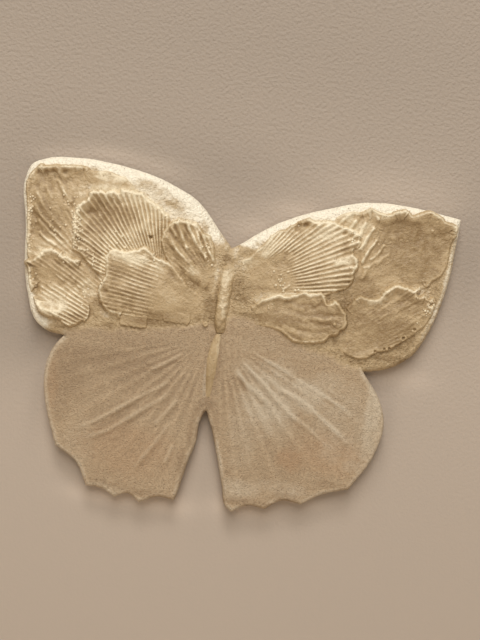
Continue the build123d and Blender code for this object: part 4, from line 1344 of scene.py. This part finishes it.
            (74.5, 6.6, 0.2), (72.9, 12.8, 0.2), (69.9, 24.1, 0.2), (66.3, 35.2, 0.2),
        ],
        "folds": [
            ([(94.8, 39.4), (109.4, 41.6), (131.8, 43.7)], 8, -0.7),
            ([(76.5, 49.7), (84.7, 37.9)], 6, 0.8),
            ([(92.4, 46.9), (108.3, 49.2), (127.7, 49.5)], 7, -0.6),
            ([(96.3, 38.4), (93.2, 33.4), (89.4, 28.3)], 1.1, 1.17),
            ([(90.8, 40.8), (87.2, 34.4), (83.9, 26.1)], 1.4, 1.3),
            ([(87.7, 48.1), (84.8, 41.8), (81.3, 34.8)], 1.5, 1.3),
            ([(82.8, 50.6), (79.5, 42.3), (76.5, 36.7)], 1.5, 0.91),
            ([(99.1, 32.9), (94, 27.7), (85.7, 22.5)], 1.1, 0.65),
            ([(72.9, 56.2), (69.6, 52.5), (66.3, 48.1)], 1.2, 0.78),
            ([(77.2, 53.6), (74.1, 48), (71.5, 43.7)], 1.3, 0.91),
            ([(77.1, 54), (81.3, 56.2)], 2.5, -1.7), ([(125.3, 52.4)], 0.8, 0.91),
            ([(89.9, 54.9)], 1.1, 0.91), ([(93.1, 47), (89.4, 41.2)], 1.8, -0.7),
            ([(111.8, 56.2), (111.5, 49.7)], 3, 0.5), ([(106.7, 29.5), (114.9, 26.9)], 2.5, 0.3),
            ([(88.2, 22.9), (85.4, 16)], 1.4, 0.65),
        ],
        "plain": [([(105.4, 46.8), (126.8, 33.8)], 20, 1)],
        "grit": [
            ([(138.1, 53.7), (139, 34.4)], 1.8, 0.3), ([(65.8, 51.9), (73.8, 50.5)], 2.5, 0.12),
        ],
    },
    "right_outer_petal": {
        "apex": (67.5, -23.5), "turn": 30.5, "length": 75, "fan": (-32, 26), "lip": 3, "curl": 1,
        "feather": 7, "glaze": 0.02, "ribHub": (-12.5, -104.9), "ribStep": 0.83, "rib": 0.25,
        "sharp": 1.1, "start": 0.3, "wander": 0.7, "wear": 0.8, "over": ["right_tip_petal"],
        "edge": [
            (79.1, -2.4, 1.5), (81.5, 0.5, 2.3), (82.5, 2.7, 3.1), (84.3, 4.6, 3.7),
            (86.3, 5.3, 3.9), (89.1, 4.5, 3.8), (91.7, 4.2, 3.7), (93.6, 4.1, 3.7),
            (95.9, 4.9, 4.9), (97.8, 6.6, 5.1), (98.8, 8.9, 5.4), (99.9, 10.5, 5.7),
            (101.9, 11.6, 5.8), (103.5, 13.4, 6), (105.4, 15, 6.1), (108, 16.1, 6.1),
            (110.7, 15.9, 6), (113.5, 15.3, 5.8), (116.8, 14.8, 5.6), (119.3, 14.3, 5.5),
            (121, 15.1, 5.5), (121.8, 17, 5.5), (123.3, 16.5, 5.3), (124.1, 13.4, 4.5),
            (122.3, 11.5, 4.7), (122.9, 10.6, 5.1), (125.1, 11.8, 5.3), (128, 11, 4.3),
            (129.4, 10, 4.1), (131.4, 11.4, 2.9), (133.8, 10, 2.4), (135, 6.6, 1.8),
            (134.3, 2.3, 1.6), (132.9, -1.9, 1), (131.5, -5.5, 0.8), (129.9, -9, 0.9),
            (127.1, -11.6, 1.4), (124.7, -13.9, 1.6), (121.4, -17.6, 1.6), (118.4, -20, 1.7),
            (113.8, -23.9, 1.7), (110.3, -26.9, 1.9), (105.7, -29.1, 1.9), (101.1, -30.4, 1.9),
            (99.3, -32.1, 1.7), (96.9, -34.2, 1.5), (93.1, -35.5, 1.4), (88.6, -35.8, 1.2),
            (85.3, -35.2, 1), (81.8, -33.8, 0.7), (78.3, -31.7, 0.2), (76.1, -26.2, 0.1),
            (77, -18.9, 0.1), (77.3, -12.4, 0.1), (76.5, -6.7, 0.2),
        ],
        "folds": [
            ([(99.4, 0.6), (114.7, 6.1)], 4.5, -0.6),
            ([(117, 12.3), (109, 5.3), (100.9, -1.1)], 1.3, 0.35),
            ([(120.4, 7), (109.4, -1.8), (100.6, -7.6)], 1.4, 0.3),
            ([(113, 13.6), (106, 8.1), (99.2, 1.9)], 1.2, 0.3),
            ([(127, -2.4), (120.2, -8.6), (113.2, -14.2)], 1.2, 0.4),
            ([(129.2, 4.4), (132.1, 2.9)], 1.1, 1), ([(123.5, -11.7)], 0.8, -1.8),
            ([(117.1, -18.5)], 0.8, -1.8), ([(109.2, -26.4)], 0.8, -1.8),
            ([(106.1, -27.4)], 0.7, -1.4), ([(100.3, -29.4)], 0.8, -1.6),
            ([(122.5, -12.8)], 0.7, 0.8), ([(102, 8.8)], 1.4, 0.9), ([(87, -12.3)], 8, 0.4),
        ],
        "plain": [([(93.2, -23), (103.1, -24.8)], 8, 0.8)],
        "grit": [
            ([(121.8, 15), (128.9, 10.8), (133.9, 3.8)], 2.2, 0.9),
            ([(127.9, 0.3), (133.5, -2.7)], 1.6, 0.7), ([(123.9, 10.1), (133.3, 7.6)], 1.8, 0.5),
            ([(130.1, 3.2), (126.3, -6.4)], 2.5, 0.2),
        ],
    },
    "right_inner_petal": {
        "apex": (15.7, -2.1), "turn": 36.5, "length": 73.7, "fan": (-38, 40), "lip": 3.7, "curl": 1,
        "feather": 5.5, "glaze": -0.02, "ribHub": (2.4, -5.5), "ribStep": 2.5, "rib": 0.95,
        "sharp": 1.1, "start": 0.2, "wander": 0.7, "wear": 0.35, "over": ["right_tip_petal"],
        "edge": [
            (6, 13.9, 0.5), (7.6, 16.3, 0.9), (10.6, 18, 1.1), (12.3, 19.8, 1.3), (13.9, 21.6, 1.5),
            (16.1, 24.6, 1.6), (17.8, 26.1, 1.6), (19.5, 27.7, 1.7), (20.6, 29.1, 1.8),
            (21.6, 31.2, 1.9), (22.6, 33, 1.9), (24.3, 34.9, 1.9), (26.6, 36.8, 1.9),
            (28.9, 38.5, 1.8), (31.4, 39.5, 1.8), (33.7, 41, 2), (36, 43, 2.4), (38.4, 44.4, 2.9),
            (40.1, 45.8, 3.4), (42.5, 47.4, 4.2), (44.8, 48.9, 4.6), (46.8, 49, 4.2),
            (50.1, 48.4, 4.2), (53.3, 48.6, 3.8), (56.4, 49.4, 3.7), (59.6, 49.5, 3.7),
            (62.9, 49.2, 3.7), (64.9, 48.8, 3.8), (67.7, 47.9, 3.9), (70.4, 47.2, 4.1),
            (73.4, 47, 4.3), (76.1, 46.1, 4.6), (78.5, 45, 4.8), (80, 44, 4.8), (81.7, 42.4, 3.8),
            (82.6, 41.4, 3.4), (81, 39.6, 3.4), (82.4, 36.9, 2.6), (80.5, 34.3, 2.2),
            (77.9, 32.4, 2.2), (78.8, 30, 3.4), (80.7, 28.5, 4.4), (82, 25.6, 4.6),
            (82.4, 23.1, 4.2), (81.9, 20.3, 3.4), (80.6, 17.5, 2.6), (80.6, 14.4, 2),
            (79.2, 10.5, 1.6), (76.4, 7.1, 1.3), (71.5, 4.9, 1.2), (66.7, 2.5, 1),
            (59.4, -0.8, 0.8), (48.3, -4.4, 0.6), (38.3, -7.2, 0.4), (28.4, -10, 0),
            (19.9, -13.9, -0.3), (12.6, -13, -0.4), (7.4, -8.6, -0.4), (4.5, -1.9, -0.4),
            (4.1, 5.1, -0.3), (4.6, 10.4, 0),
        ],
        "folds": [
            ([(28.7, 17.9), (37.7, 23.1)], 5, -0.8),
            ([(12.9, 15.5), (42.1, 36.7), (60.2, 45.9)], 4, 0.6),
            ([(40.6, 42.4), (45.3, 45.6)], 3.4, -2.6),
            ([(67.5, 23), (73, 25.2), (77.9, 27.2)], 2.2, 1.2),
            ([(79.8, 25.5), (81.2, 22.5), (79, 19.6)], 1.3, 0.8),
            ([(34, 21.9), (30.8, 16.9)], 5.5, -0.6), ([(34.3, 11)], 0.9, 0.7),
            ([(37.9, 12.8)], 0.9, 0.7), ([(34.3, 6.4)], 0.9, 0.6), ([(31.7, 2.8)], 0.9, 0.6),
            ([(36.4, 1.5), (39.9, 4)], 0.9, 0.7), ([(48.8, 5.3)], 0.9, 0.7),
            ([(70.5, 42.3), (75.4, 39.8)], 2.6, -0.8), ([(79, 32.5), (81.1, 31.6)], 1.8, -1.4),
            ([(52.6, 44.8), (63, 44.4)], 3, 0.5),
        ],
        "plain": [
            ([(40.5, 43), (45.9, 46.4)], 3.5, 1), ([(32.2, 21), (36.3, 19)], 5, 0.8),
            ([(66.8, 23.6), (78, 26.6)], 2.6, 0.9), ([(27.3, 6), (37.3, 4.3)], 8, 1),
            ([(54.6, 39.9), (64.7, 37.5)], 3, 0.5),
        ],
        "grit": [
            ([(31.6, 11.8), (37.1, 1), (47.2, 2.5)], 2.6, 0.55), ([(8.5, 14.9)], 2, 0.6),
            ([(75.5, 39.1), (78.9, 33.2)], 1.6, 0.25),
        ],
    },
    "right_small_petal": {
        "apex": (12.3, -11.8), "turn": -3.5, "length": 66, "fan": (-28, 28), "lip": 3.8, "curl": 1,
        "feather": 4.5, "glaze": 0.04, "ribHub": (12.3, -11.8), "ribStep": 8, "rib": 0.5,
        "sharp": 0.9, "start": 0.3, "wander": 1.2, "wear": 0.6,
        "over": ["right_inner_petal", "right_outer_petal"],
        "edge": [
            (18.9, -11.4, 1.5), (21.1, -8.9, 2.7), (23.7, -6.7, 3.6), (26.4, -5.3, 4),
            (28.8, -3.9, 4.3), (31.8, -2.8, 4.6), (34.9, -1.7, 4.8), (37.6, -2.2, 4.5),
            (40.2, -2.2, 4.5), (42.6, -0.8, 4.7), (45, 0.5, 4.9), (47.4, 1.5, 5.1),
            (50.5, 2.4, 5.1), (52.5, 2, 4.8), (54.1, 1.6, 4.7), (56.4, 2.2, 4.8), (58.8, 2.9, 4.9),
            (60.8, 3.6, 4.9), (62.9, 2.4, 4.7), (64.6, 1, 4.5), (65.4, -0.9, 3.9),
            (66.1, -2.6, 3.9), (67.7, -1.8, 4.2), (69.7, -0.2, 4.8), (71.5, -0.1, 4.9),
            (73.2, -1.4, 4.6), (74.9, -3.3, 4.3), (76.5, -5.2, 4), (78.1, -6.9, 3.6),
            (79.2, -8.3, 3.3), (79.9, -10.7, 3), (80.6, -13.2, 2.8), (80.3, -16.4, 2.7),
            (78.8, -18.7, 2.7), (77.2, -19.6, 2.6), (76.5, -21.5, 2.6), (75.5, -23, 2.6),
            (72.6, -23.9, 2.5), (70.5, -24.6, 2.5), (69.7, -26.5, 2.5), (68.3, -28.1, 2.5),
            (65.6, -29.5, 2.4), (61.8, -30.1, 2.3), (57.4, -31.1, 2.2), (52.3, -31.5, 2.1),
            (48.8, -31.4, 2.1), (45, -29.6, 2), (42.2, -28, 1.9), (39.5, -26.2, 1.8),
            (36.2, -25.2, 1.5), (33, -24.6, 1.2), (30.2, -24.1, 0.9), (26.6, -24, 0.5),
            (22.6, -23.4, 0), (18.5, -21.9, -0.3), (15.4, -18.4, -0.4), (15.9, -14.9, -0.2),
        ],
        "folds": [
            ([(33.5, -9.3), (54.9, -5.4)], 3.5, -0.8),
            (
                [(57.2, -16.7), (61.1, -16.8), (65.1, -17.5), (69.6, -17.1), (73.9, -15.5)],
                1.3, -0.4,
            ),
            ([(67.4, -11.3), (72.5, -10.2), (77.6, -9.8)], 1.5, -0.4),
            ([(58.9, -14.5), (64, -14.1), (69, -13)], 1.6, 0.62),
            ([(49.8, -23), (58.8, -23), (68.3, -21.5)], 1.6, -0.6), ([(72.1, -16.4)], 1, 1.5),
            ([(68.2, -3.4), (72.2, -4.1)], 2.8, 0.8),
            ([(64, -1.4), (60.2, -5.9), (52.9, -9.6)], 1.7, -0.6),
            ([(36.3, -10.8), (49.5, -12.7), (62, -9.5)], 2.4, -0.4),
            ([(41.9, -22.2), (53, -27.1)], 2.6, 0.5),
        ],
        "plain": [([(30.1, -13), (43, -12.4)], 6, 0.8)],
        "grit": [
            ([(28.6, -11.3), (37.6, -11.2)], 2.4, 0.3), ([(72.9, -13.1), (76.4, -19)], 2, 0.15),
        ],
    },
}
petalDetail = {
    "spacing": 0.42, "rings": (0.12, 0.35, 0.7, 1.1), "edgeNibble": 0.5, "underLip": 1.0,
    "crumple": 0.8, "lipBead": 0.7, "edgeRound": 0.7, "buckle": 0.9, "skin": 0.6,
}


def fanPlaces(petal, points):
    # reach and bearing of points from the petal's apex
    turn = math.radians(petal["turn"])
    off = (points - petal["apex"]) / petal["length"]
    u = off[:, 0] * math.cos(turn) + off[:, 1] * math.sin(turn)
    v = off[:, 1] * math.cos(turn) - off[:, 0] * math.sin(turn)
    return u, np.degrees(np.arctan2(v, u))


for number, petal in enumerate(petals.values()):
    edge = np.array(petal["edge"])
    loop = anticlockwise(smoothLine(edge[:, :2], 0.35, closed=True))
    # how far the edge stands up, carried along the smooth outline
    away = np.linalg.norm(loop[:, None] - edge[None, :, :2], axis=2)
    weight = 1 / (away + 0.05) ** 4
    petal["stand"] = (weight * edge[:, 2]).sum(axis=1) / weight.sum(axis=1)
    nibble = rough(loop, 3.4, number + 3) + 0.8 * rough(loop, 1.3, number + 23)
    nibble = petalDetail["edgeNibble"] * nibble * np.clip(petal["stand"] / 2, 0.5, 1)
    petal["loop"] = loop + loopNormals(loop, 3) * nibble[:, None]


def strokes(points, lines):
    # soft dents and swellings pressed along short lines: each has a width and a height
    total = np.zeros(len(points))
    swerve = np.column_stack([rough(points, 5.0, 61), rough(points, 5.0, 62)])
    bent, uneven = points + swerve * 0.6, 1 + 0.7 * rough(points, 4.0, 63)
    for line, width, height in lines:
        stroke = smoothLine(line, 0.4) if len(line) > 1 else np.array(line)
        low, high = stroke.min(axis=0) - 3 * width, stroke.max(axis=0) + 3 * width
        close = np.nonzero(((bent > low) & (bent < high)).all(axis=1))[0]
        if len(close):
            away, _ = nearest(bent[close], stroke)
            total[close] += height * uneven[close] * np.exp(-((away / width) ** 2))
    return total


def petalForm(petal, points):
    # height of a petal over the slab before its ribs: a dish, its turned-up edge, and its folds
    far, which = nearest(points, petal["loop"])
    u, bearing = fanPlaces(petal, points)
    first, last = petal["fan"]
    off = (2 * bearing - first - last) / (last - first)
    dish = petal["lip"] * np.clip(u, 0, 1.1) ** petal["curl"] * (1 - 0.25 * np.minimum(off**2, 1.6))
    edge = petal["stand"][which]
    share = np.clip(far / (petal["feather"] + 7 * np.clip(1 - edge, 0, 1)), 0, 1)
    form = edge + (dish - edge) * share**2 * (3 - 2 * share)
    return form + strokes(points, petal["folds"]), edge


def makePetal(name, petal, number):
    blank, verts, _, source = clayBlank(
        name + "_clay", petal["loop"], petalDetail["spacing"], petalDetail["rings"],
        [(footDepth, 0.35)],
    )
    mesh = blank.data
    form, edge = petalForm(petal, verts)
    # a petal is pressed down where another one lies over it
    cap = np.full(len(verts), 20.0)
    covered = np.zeros(len(verts), bool)
    for other in petals.values():
        if name in other["over"]:
            under = signedDepth(verts, other["loop"]) > 0.3
            over = petalForm(other, verts[under])[0] - petalDetail["underLip"]
            cap[under] = np.minimum(cap[under], over)
            covered |= under
    beads = np.clip(strokes(verts, petal["grit"]), 0, 1)
    beads *= (readValue(mesh, "rim")[: len(verts)] > 0.5 * mm) & ~covered
    for label, values in (
        ("form", form * mm), ("stand", edge * mm), ("cap", cap * mm),
        ("shift", petal["glaze"] * np.clip(form / 1.5, 0, 1)),
        ("plain", np.clip(strokes(verts, petal["plain"]), 0, 1)),
    ):
        storeValue(mesh, label, values[source])
    grit = np.zeros(len(source))
    grit[: len(verts)] = beads
    storeValue(mesh, "grit", grit)
    hubX, hubZ = petal["ribHub"]
    midX, midZ = petal["loop"].mean(axis=0)
    inputs = {
        "Apex": slabPlace(*petal["apex"]), "Rib Hub": slabPlace(hubX, hubZ),
        "Turn": math.radians(petal["turn"]), "Rib Turn": math.atan2(midZ - hubZ, midX - hubX),
        "Rib Step": math.radians(petal["ribStep"]), "Length": petal["length"] * mm,
        "Rib Height": petal["rib"] * mm, "Rib Sharpness": petal["sharp"],
        "Rib Start": petal["start"], "Rib Wander": petal["wander"], "Wear": petal["wear"],
        "Seed": float(number), "Material": petalGlaze,
    }
    for label, key in (
        ("Crumple", "crumple"), ("Lip Bead", "lipBead"), ("Edge Round", "edgeRound"),
        ("Buckle", "buckle"), ("Skin", "skin"),
    ):
        inputs[label] = petalDetail[key] * mm
    pressFrom(blank, shellTreeMade, inputs, name, "petal_glaze")
    print(name, "pressed,", len(blank.data.polygons), "faces")


for number, (name, petal) in enumerate(petals.items()):
    makePetal(name, petal, number)


# pads and the pellet

pads = {
    "left_outer_tab": {"centre": (-0.198, -0.15), "size": (18.5, 9.5), "corner": 2.6},
    "left_inner_tab": {"centre": (-0.101, -0.124), "size": (18.0, 7.6), "corner": 2.2},
}
padDetail = {"height": 0.9, "spacing": 0.42, "rings": (0.12, 0.35, 0.7), "nibble": (0.7, 0.5)}


def padLoop(pad, number):
    corner = pad["corner"]
    out = np.array(pad["size"]) / 2 - corner
    points = []
    for k, sides in enumerate([(1, -1), (1, 1), (-1, 1), (-1, -1)]):
        turns = np.radians(np.linspace(-90 + 90 * k, 90 * k, 7))
        points.extend(sides * out + corner * np.column_stack([np.cos(turns), np.sin(turns)]))
    loop = evenSteps(np.vstack([points, points[:1]]), 0.4)[:-1] + onSlab(pad["centre"])
    loop = anticlockwise(loop)
    coarse, fine = padDetail["nibble"]
    nibble = coarse * rough(loop, 3, number + 40) + fine * rough(loop, 1.2, number + 44) - 0.15
    return loop + loopNormals(loop, 3) * nibble[:, None]


for number, (name, pad) in enumerate(pads.items()):
    pad["loop"] = padLoop(pad, number)
    blank = clayBlank(
        name + "_clay", pad["loop"], padDetail["spacing"], padDetail["rings"], [(footDepth, 0)],
    )[0]
    inputs = {"Height": padDetail["height"] * mm, "Material": petalGlaze}
    pressFrom(blank, padTreeMade, inputs, name, "petal_glaze")
print("pads pressed on")

# the profile gives shares of the radius and of the height, from the middle out
pellet = {
    "centre": (-0.0335, -0.131), "radius": 1.8, "height": 1.7, "sides": 28,
    "profile": [
        (0.0, 0.86), (0.3, 0.9), (0.55, 0.97), (0.75, 0.94), (0.92, 0.75), (1.0, 0.45),
        (0.97, 0.2), (0.9, -0.2),
    ],
}


def makePellet(values):
    # a flattened bead with a thumbed dimple
    x, z = onSlab(values["centre"])
    sides, profile, tall = values["sides"], values["profile"], values["height"]
    verts, faces = [(x, -slabFace - profile[0][1] * tall, z)], []
    for out, up in profile[1:]:
        for k in range(sides):
            a = 2 * math.pi * k / sides
            uneven = noise.noise(Vector((math.cos(a), math.sin(a), out * 2)))
            wide = values["radius"] * out * (1 + 0.05 * uneven)
            verts.append((x + wide * math.cos(a), -slabFace - up * tall, z + wide * math.sin(a)))
    for k in range(sides):
        faces.append([0, 1 + k, 1 + (k + 1) % sides])
    last = 1 + (len(profile) - 2) * sides
    for a in range(1, last, sides):
        for k in range(sides):
            j = (k + 1) % sides
            faces.append([a + k, a + sides + k, a + sides + j, a + j])
    faces.append([last + k for k in reversed(range(sides))])
    bead = addMesh("clay_pellet_bead", verts, faces)
    bead.data.materials.append(petalGlaze)
    markCrests(bead, 3)
    takePlace(bead, "clay_pellet", "petal_glaze")


makePellet(pellet)
print("pellet set")


# the rolls of the body, with swell and rise as shares of width and height along the line

bodyRolls = {
    "thorax_roll": {
        "line": [
            (0.3, -32.3), (-0.3, -24.0), (-0.3, -14.3), (-0.2, -4.6), (0.2, 5.2), (0.7, 12.4),
            (0.6, 17.6),
        ],
        "width": 8.8, "crest": 0.8, "lump": 0.22, "seed": 50,
        "swell": [
            (0.0, 0.5), (0.03, 0.72), (0.1, 0.84), (0.24, 0.94), (0.4, 1.0), (0.55, 1.0),
            (0.75, 0.95), (0.93, 0.9), (1.0, 0.6),
        ],
        "rise": [(0.0, 0.6), (0.1, 0.95), (0.55, 1.05), (0.78, 0.6), (1.0, 0.25)],
    },
    "abdomen_roll": {
        "line": [
            (-0.9, -74.0), (-1.3, -68.2), (-1.7, -56.6), (-1.4, -44.9), (-0.7, -36.4), (0.2, -32.7),
        ],
        "width": 6.8, "crest": 0.5, "lump": 0.2, "seed": 51,
        "swell": [
            (0.0, 0.25), (0.06, 0.46), (0.22, 0.72), (0.4, 0.95), (0.55, 1.0), (0.7, 0.94),
            (0.88, 0.7), (1.0, 0.45),
        ],
        "rise": [(0.0, 0.5), (0.4, 0.8), (0.8, 1.0), (1.0, 1.1)],
    },
}
rollSides = 22


def turnOut(mesh):
    work = bmesh.new()
    work.from_mesh(mesh)
    bmesh.ops.recalc_face_normals(work, faces=work.faces)
    work.to_mesh(mesh)
    work.free()


def makeRoll(name, values):
    line = smoothLine(values["line"], 0.4)
    share = np.linspace(0, 1, len(line))
    swell, rises = np.array(values["swell"]), np.array(values["rise"])
    half = np.interp(share, swell[:, 0], swell[:, 1]) * values["width"] / 2
    half = np.convolve(np.pad(half, 3, "edge"), np.ones(7) / 7, "valid")
    rise = np.interp(share, rises[:, 0], rises[:, 1]) * values["crest"]
    side = loopNormals(line, 1)
    side[0], side[-1] = side[1], side[-2]
    seed = values["seed"]
    verts, faces = [], []
    for i, (x, z) in enumerate(line):
        sideX, sideZ = side[i] * half[i]
        for k in range(rollSides + 1):
            a = math.pi * k / rollSides
            across = math.cos(a)
            lump = noise.noise(Vector((x / 3, across * 1.5, z / 3 + seed)))
            lump += noise.noise(Vector((x / 8, across, z / 9 + seed * 3)))
            lump += 0.5 * noise.noise(Vector((x, across * 4, z + seed)))
            lump = 1 + values["lump"] * lump
            out = across * (0.5 + 0.5 * lump)
            up = math.sin(a) ** 1.45 * half[i] * rise[i] * lump
            verts.append((x + sideX * out, -slabFace - up, z + sideZ * out))
        for foot in (-1, 1):
            verts.append((x + sideX * foot, -footDepth, z + sideZ * foot))
    row = rollSides + 3
    last = (len(line) - 1) * row
    for a in range(0, last, row):
        for k in range(row):
            j = (k + 1) % row
            faces.append([a + k, a + row + k, a + row + j, a + j])
    faces.append([k for k in reversed(range(row))])
    faces.append([last + k for k in range(row)])
    roll = addMesh(name + "_clay", verts, faces)
    bpy.context.view_layer.update()
    turnOut(roll.data)
    roll.data.materials.append(bodyGlaze)
    markCrests(roll, 10)
    takePlace(roll, name, "body_glaze")


for name, values in bodyRolls.items():
    makeRoll(name, values)
print("body rolled")


# the slab is shaped last, when all that lies on it is known


def makeSlab(values):
    blank, verts, which, source = clayBlank(
        "wing_slab_clay", slabLoop, values["spacing"], values["rings"], [(0.9, 0.0), (0.0, 0.7)],
        boredBack,
    )
    mesh = blank.data
    border = smoothLine(glazeLine, 0.8)
    field = np.vstack([border, [(200, -60), (200, 100), (-200, 100), (-200, -62)]])
    far, _ = nearest(verts, border)
    glaze = np.where(insideLoop(verts, field), far, -far)
    # glaze gathers in a dark line against the petals that stand up; the line is kept only under
    # their lower edges, where it is painted shade
    seam = np.zeros(len(verts))
    for piece in [*petals.values(), *pads.values()]:
        away, closest = nearest(verts, piece["loop"])
        stand = piece["stand"][closest] if "stand" in piece else 0.8
        line = np.exp(-away / 0.7) * np.clip(stand / 1.4, 0, 1)
        line *= np.clip(0.35 - 0.75 * loopNormals(piece["loop"], 3)[closest, 1], 0, 1)
        seam = np.maximum(seam, np.where(insideLoop(verts, piece["loop"]), 0, line))
    # the glaze is thin on the rims of the upper wings, but not in the notch at the head; it is
    # thinnest and palest on rims that face up or left and hardly thin on those that face right or
    # down, which is painted highlight
    reach = np.maximum(rollWidths[which], 6.0)
    worn = np.clip(1.2 - readValue(mesh, "rim")[: len(verts)] / mm / reach, 0, 1) * (glaze > -2)
    worn *= np.clip((np.linalg.norm(verts - (0.0, 19.0), axis=1) - 6) / 12, 0.15, 1)
    worn *= np.clip(0.6 + 0.5 * slabNormals[which, 1] - 0.35 * slabNormals[which, 0], 0.0, 1)
    for label, front in (
        ("rollWidth", rollWidths[which] * mm), ("rollDepth", rollDepths[which] * mm),
        ("glaze", glaze * mm), ("seam", seam), ("worn", worn),
    ):
        storeValue(mesh, label, front[source])
    lines = ridgeCurves()
    # the tree's own inputs are the values whose names start with a capital
    inputs = {label: value for label, value in values.items() if label[0].isupper()}
    inputs.update({
        "Ridge Lines": lines, "Left Hub": slabPlace(*onSlab(values["leftHub"])),
        "Right Hub": slabPlace(*onSlab(values["rightHub"])), "Material": wingClay,
    })
    pressFrom(blank, slabTreeMade, inputs, "wing_slab", "slab_clay", 8, 0.25)
    bpy.data.objects.remove(lines)
    print("slab shaped,", len(blank.data.polygons), "faces")


makeSlab(slabShape)


# wall, floor and lamps

stageLook = {
    "wall": (184, 167, 149), "floor": (214, 204, 190), "floorDrop": 340.0, "wallGap": 0.4,
    "wallPeel": (1.25, 0.8), "floorPeel": (3.0, 0.05), "reach": 2500, "wallTop": 1800,
}
lampSet = {
    "key": {"place": (-230, -1230, 2280), "size": (1100, 500), "watts": 28.2},
    "window": {"place": (-150, -1960, 1540), "size": (1300, 1700), "watts": 36.5},
    "world": 0.205, "worldTint": (1, 0.985, 0.96, 1), "aim": (0, 0, -30),
}

# painted light and painted shade on the wall, in mm: middle, reach, how much; plus lightens, as
# painted light in the shadow under the lower wings and above the top rims, and minus darkens, as
# painted shade round the object
paintedWallLightAndShade = [
    ((-60, -149), (22, 6), 0.25), ((-24, -149), (22, 6), 0.27), ((34, -144), (20, 6), 0.27),
    ((68, -134), (18, 5), 0.18), ((119, -44), (22, 7), 0.18), ((-146, 3), (32, 60), -0.2),
    ((-86, 73), (100, 34), -0.08), ((101, 74), (46, 16), 0.12), ((155, 37), (18, 46), -0.16),
    ((-131, -53), (26, 26), -0.14), ((-120, -48), (8, 20), -0.12), ((-111, -89), (6, 26), -0.08),
    ((-6, 67), (48, 24), -0.08), ((-118, 67), (20, 5), 0.14), ((-86, 72), (24, 6), 0.2),
    ((-53, 67), (18, 7), 0.14), ((17, 39), (16, 7), 0.16), ((40, 53), (20, 8), 0.2),
    ((116, -84), (6, 30), -0.09), ((-21, 167), (220, 60), -0.04), ((5, -120), (7, 30), -0.07),
]


def stageMaterial(name, colour, peel, depth):
    material, tree, shader, where = startMaterial(name)
    x, _, z = partsOf(where)
    # the paint is unevenly toned and darker towards the top
    shade = ripple(where, 0.35, 2.0, 19) * 0.12 + ease(z, -0.03, 0.17, 1.0, 0.82)
    # the ovals add painted light and painted shade
    for (midX, midZ), (wide, high), amount in paintedWallLightAndShade:
        dx, dz = (x - midX * mm) / (wide * mm), (z - midZ * mm) / (high * mm)
        shade = bell(maths("SQRT", dx * dx + dz * dz), 1.0) * amount + shade
    skin, strength = ripple(where, peel * mm, 1.0, 18), ease(z, -0.2, 0.14, 0.08, 1.0)
    giveOut(shader, {
        "Base Color": darkened(tone(*colour), shade),
        "Normal": bumpFrom(skin, depth * mm, strength),
    })
    shader["Roughness"].default_value = 0.9
    # seen from behind it lets the view through
    mixed = put(tree, "ShaderNodeMixShader", {
        0: put(tree, "ShaderNodeNewGeometry")["Backfacing"],
        1: Signal(tree.nodes["Principled BSDF"].outputs[0]),
        2: put(tree, "ShaderNodeBsdfTransparent")[0],
    })
    link(mixed[0], tree.nodes["Material Output"].inputs[0])
    return material


def addStage(name, verts, faces, material):
    made = addMesh(name, verts, faces)
    made.data.materials.append(material)


def makeStage(values):
    drop, reach, top = -values["floorDrop"], values["reach"], values["wallTop"]
    # the wall has an opening behind the slab
    ring = slabLoop[::4] - loopNormals(slabLoop, 4)[::4] * 1.2
    corners = [(-reach, drop), (reach, drop), (reach, top), (-reach, top)]
    made = ringed(np.vstack([corners, ring]), [0, 1, 2, 3], list(range(4, len(ring) + 4)))
    flat, middles = middlesOf(made)
    faces = [list(f) for f, hide in zip(made[2], insideLoop(middles, ring)) if not hide]
    wall = [(x, values["wallGap"], z) for x, z in flat]
    paint = stageMaterial("wallPaint", values["wall"], *values["wallPeel"])
    addStage("wall", wall, faces, paint)
    floor = [(x * reach, y * reach, drop) for x, y in ((-1, -1), (1, -1), (1, 1), (-1, 1))]
    paint = stageMaterial("floorPaint", values["floor"], *values["floorPeel"])
    addStage("floor", floor, [[0, 1, 2, 3]], paint)


def addLamp(name, values, aim):
    data = bpy.data.lights.new(name, "AREA")
    data.shape = "RECTANGLE"
    data.size, data.size_y = (s * mm for s in values["size"])
    data.energy = values["watts"]
    lamp = addObject(name, data)
    lamp.location = Vector(values["place"]) * mm
    lamp.rotation_euler = (Vector(aim) * mm - lamp.location).to_track_quat("-Z", "Y").to_euler()


def lightRoom(values):
    for name in ("key", "window"):
        addLamp(name, values[name], values["aim"])
    world = bpy.data.worlds.new("room")
    world.use_nodes = True
    sky = world.node_tree.nodes["Background"].inputs
    sky["Color"].default_value = values["worldTint"]
    sky["Strength"].default_value = values["world"]
    bpy.context.scene.world = world
    bpy.context.scene.view_settings.view_transform = "Standard"


makeStage(stageLook)
lightRoom(lampSet)
print("stage and lamps set")
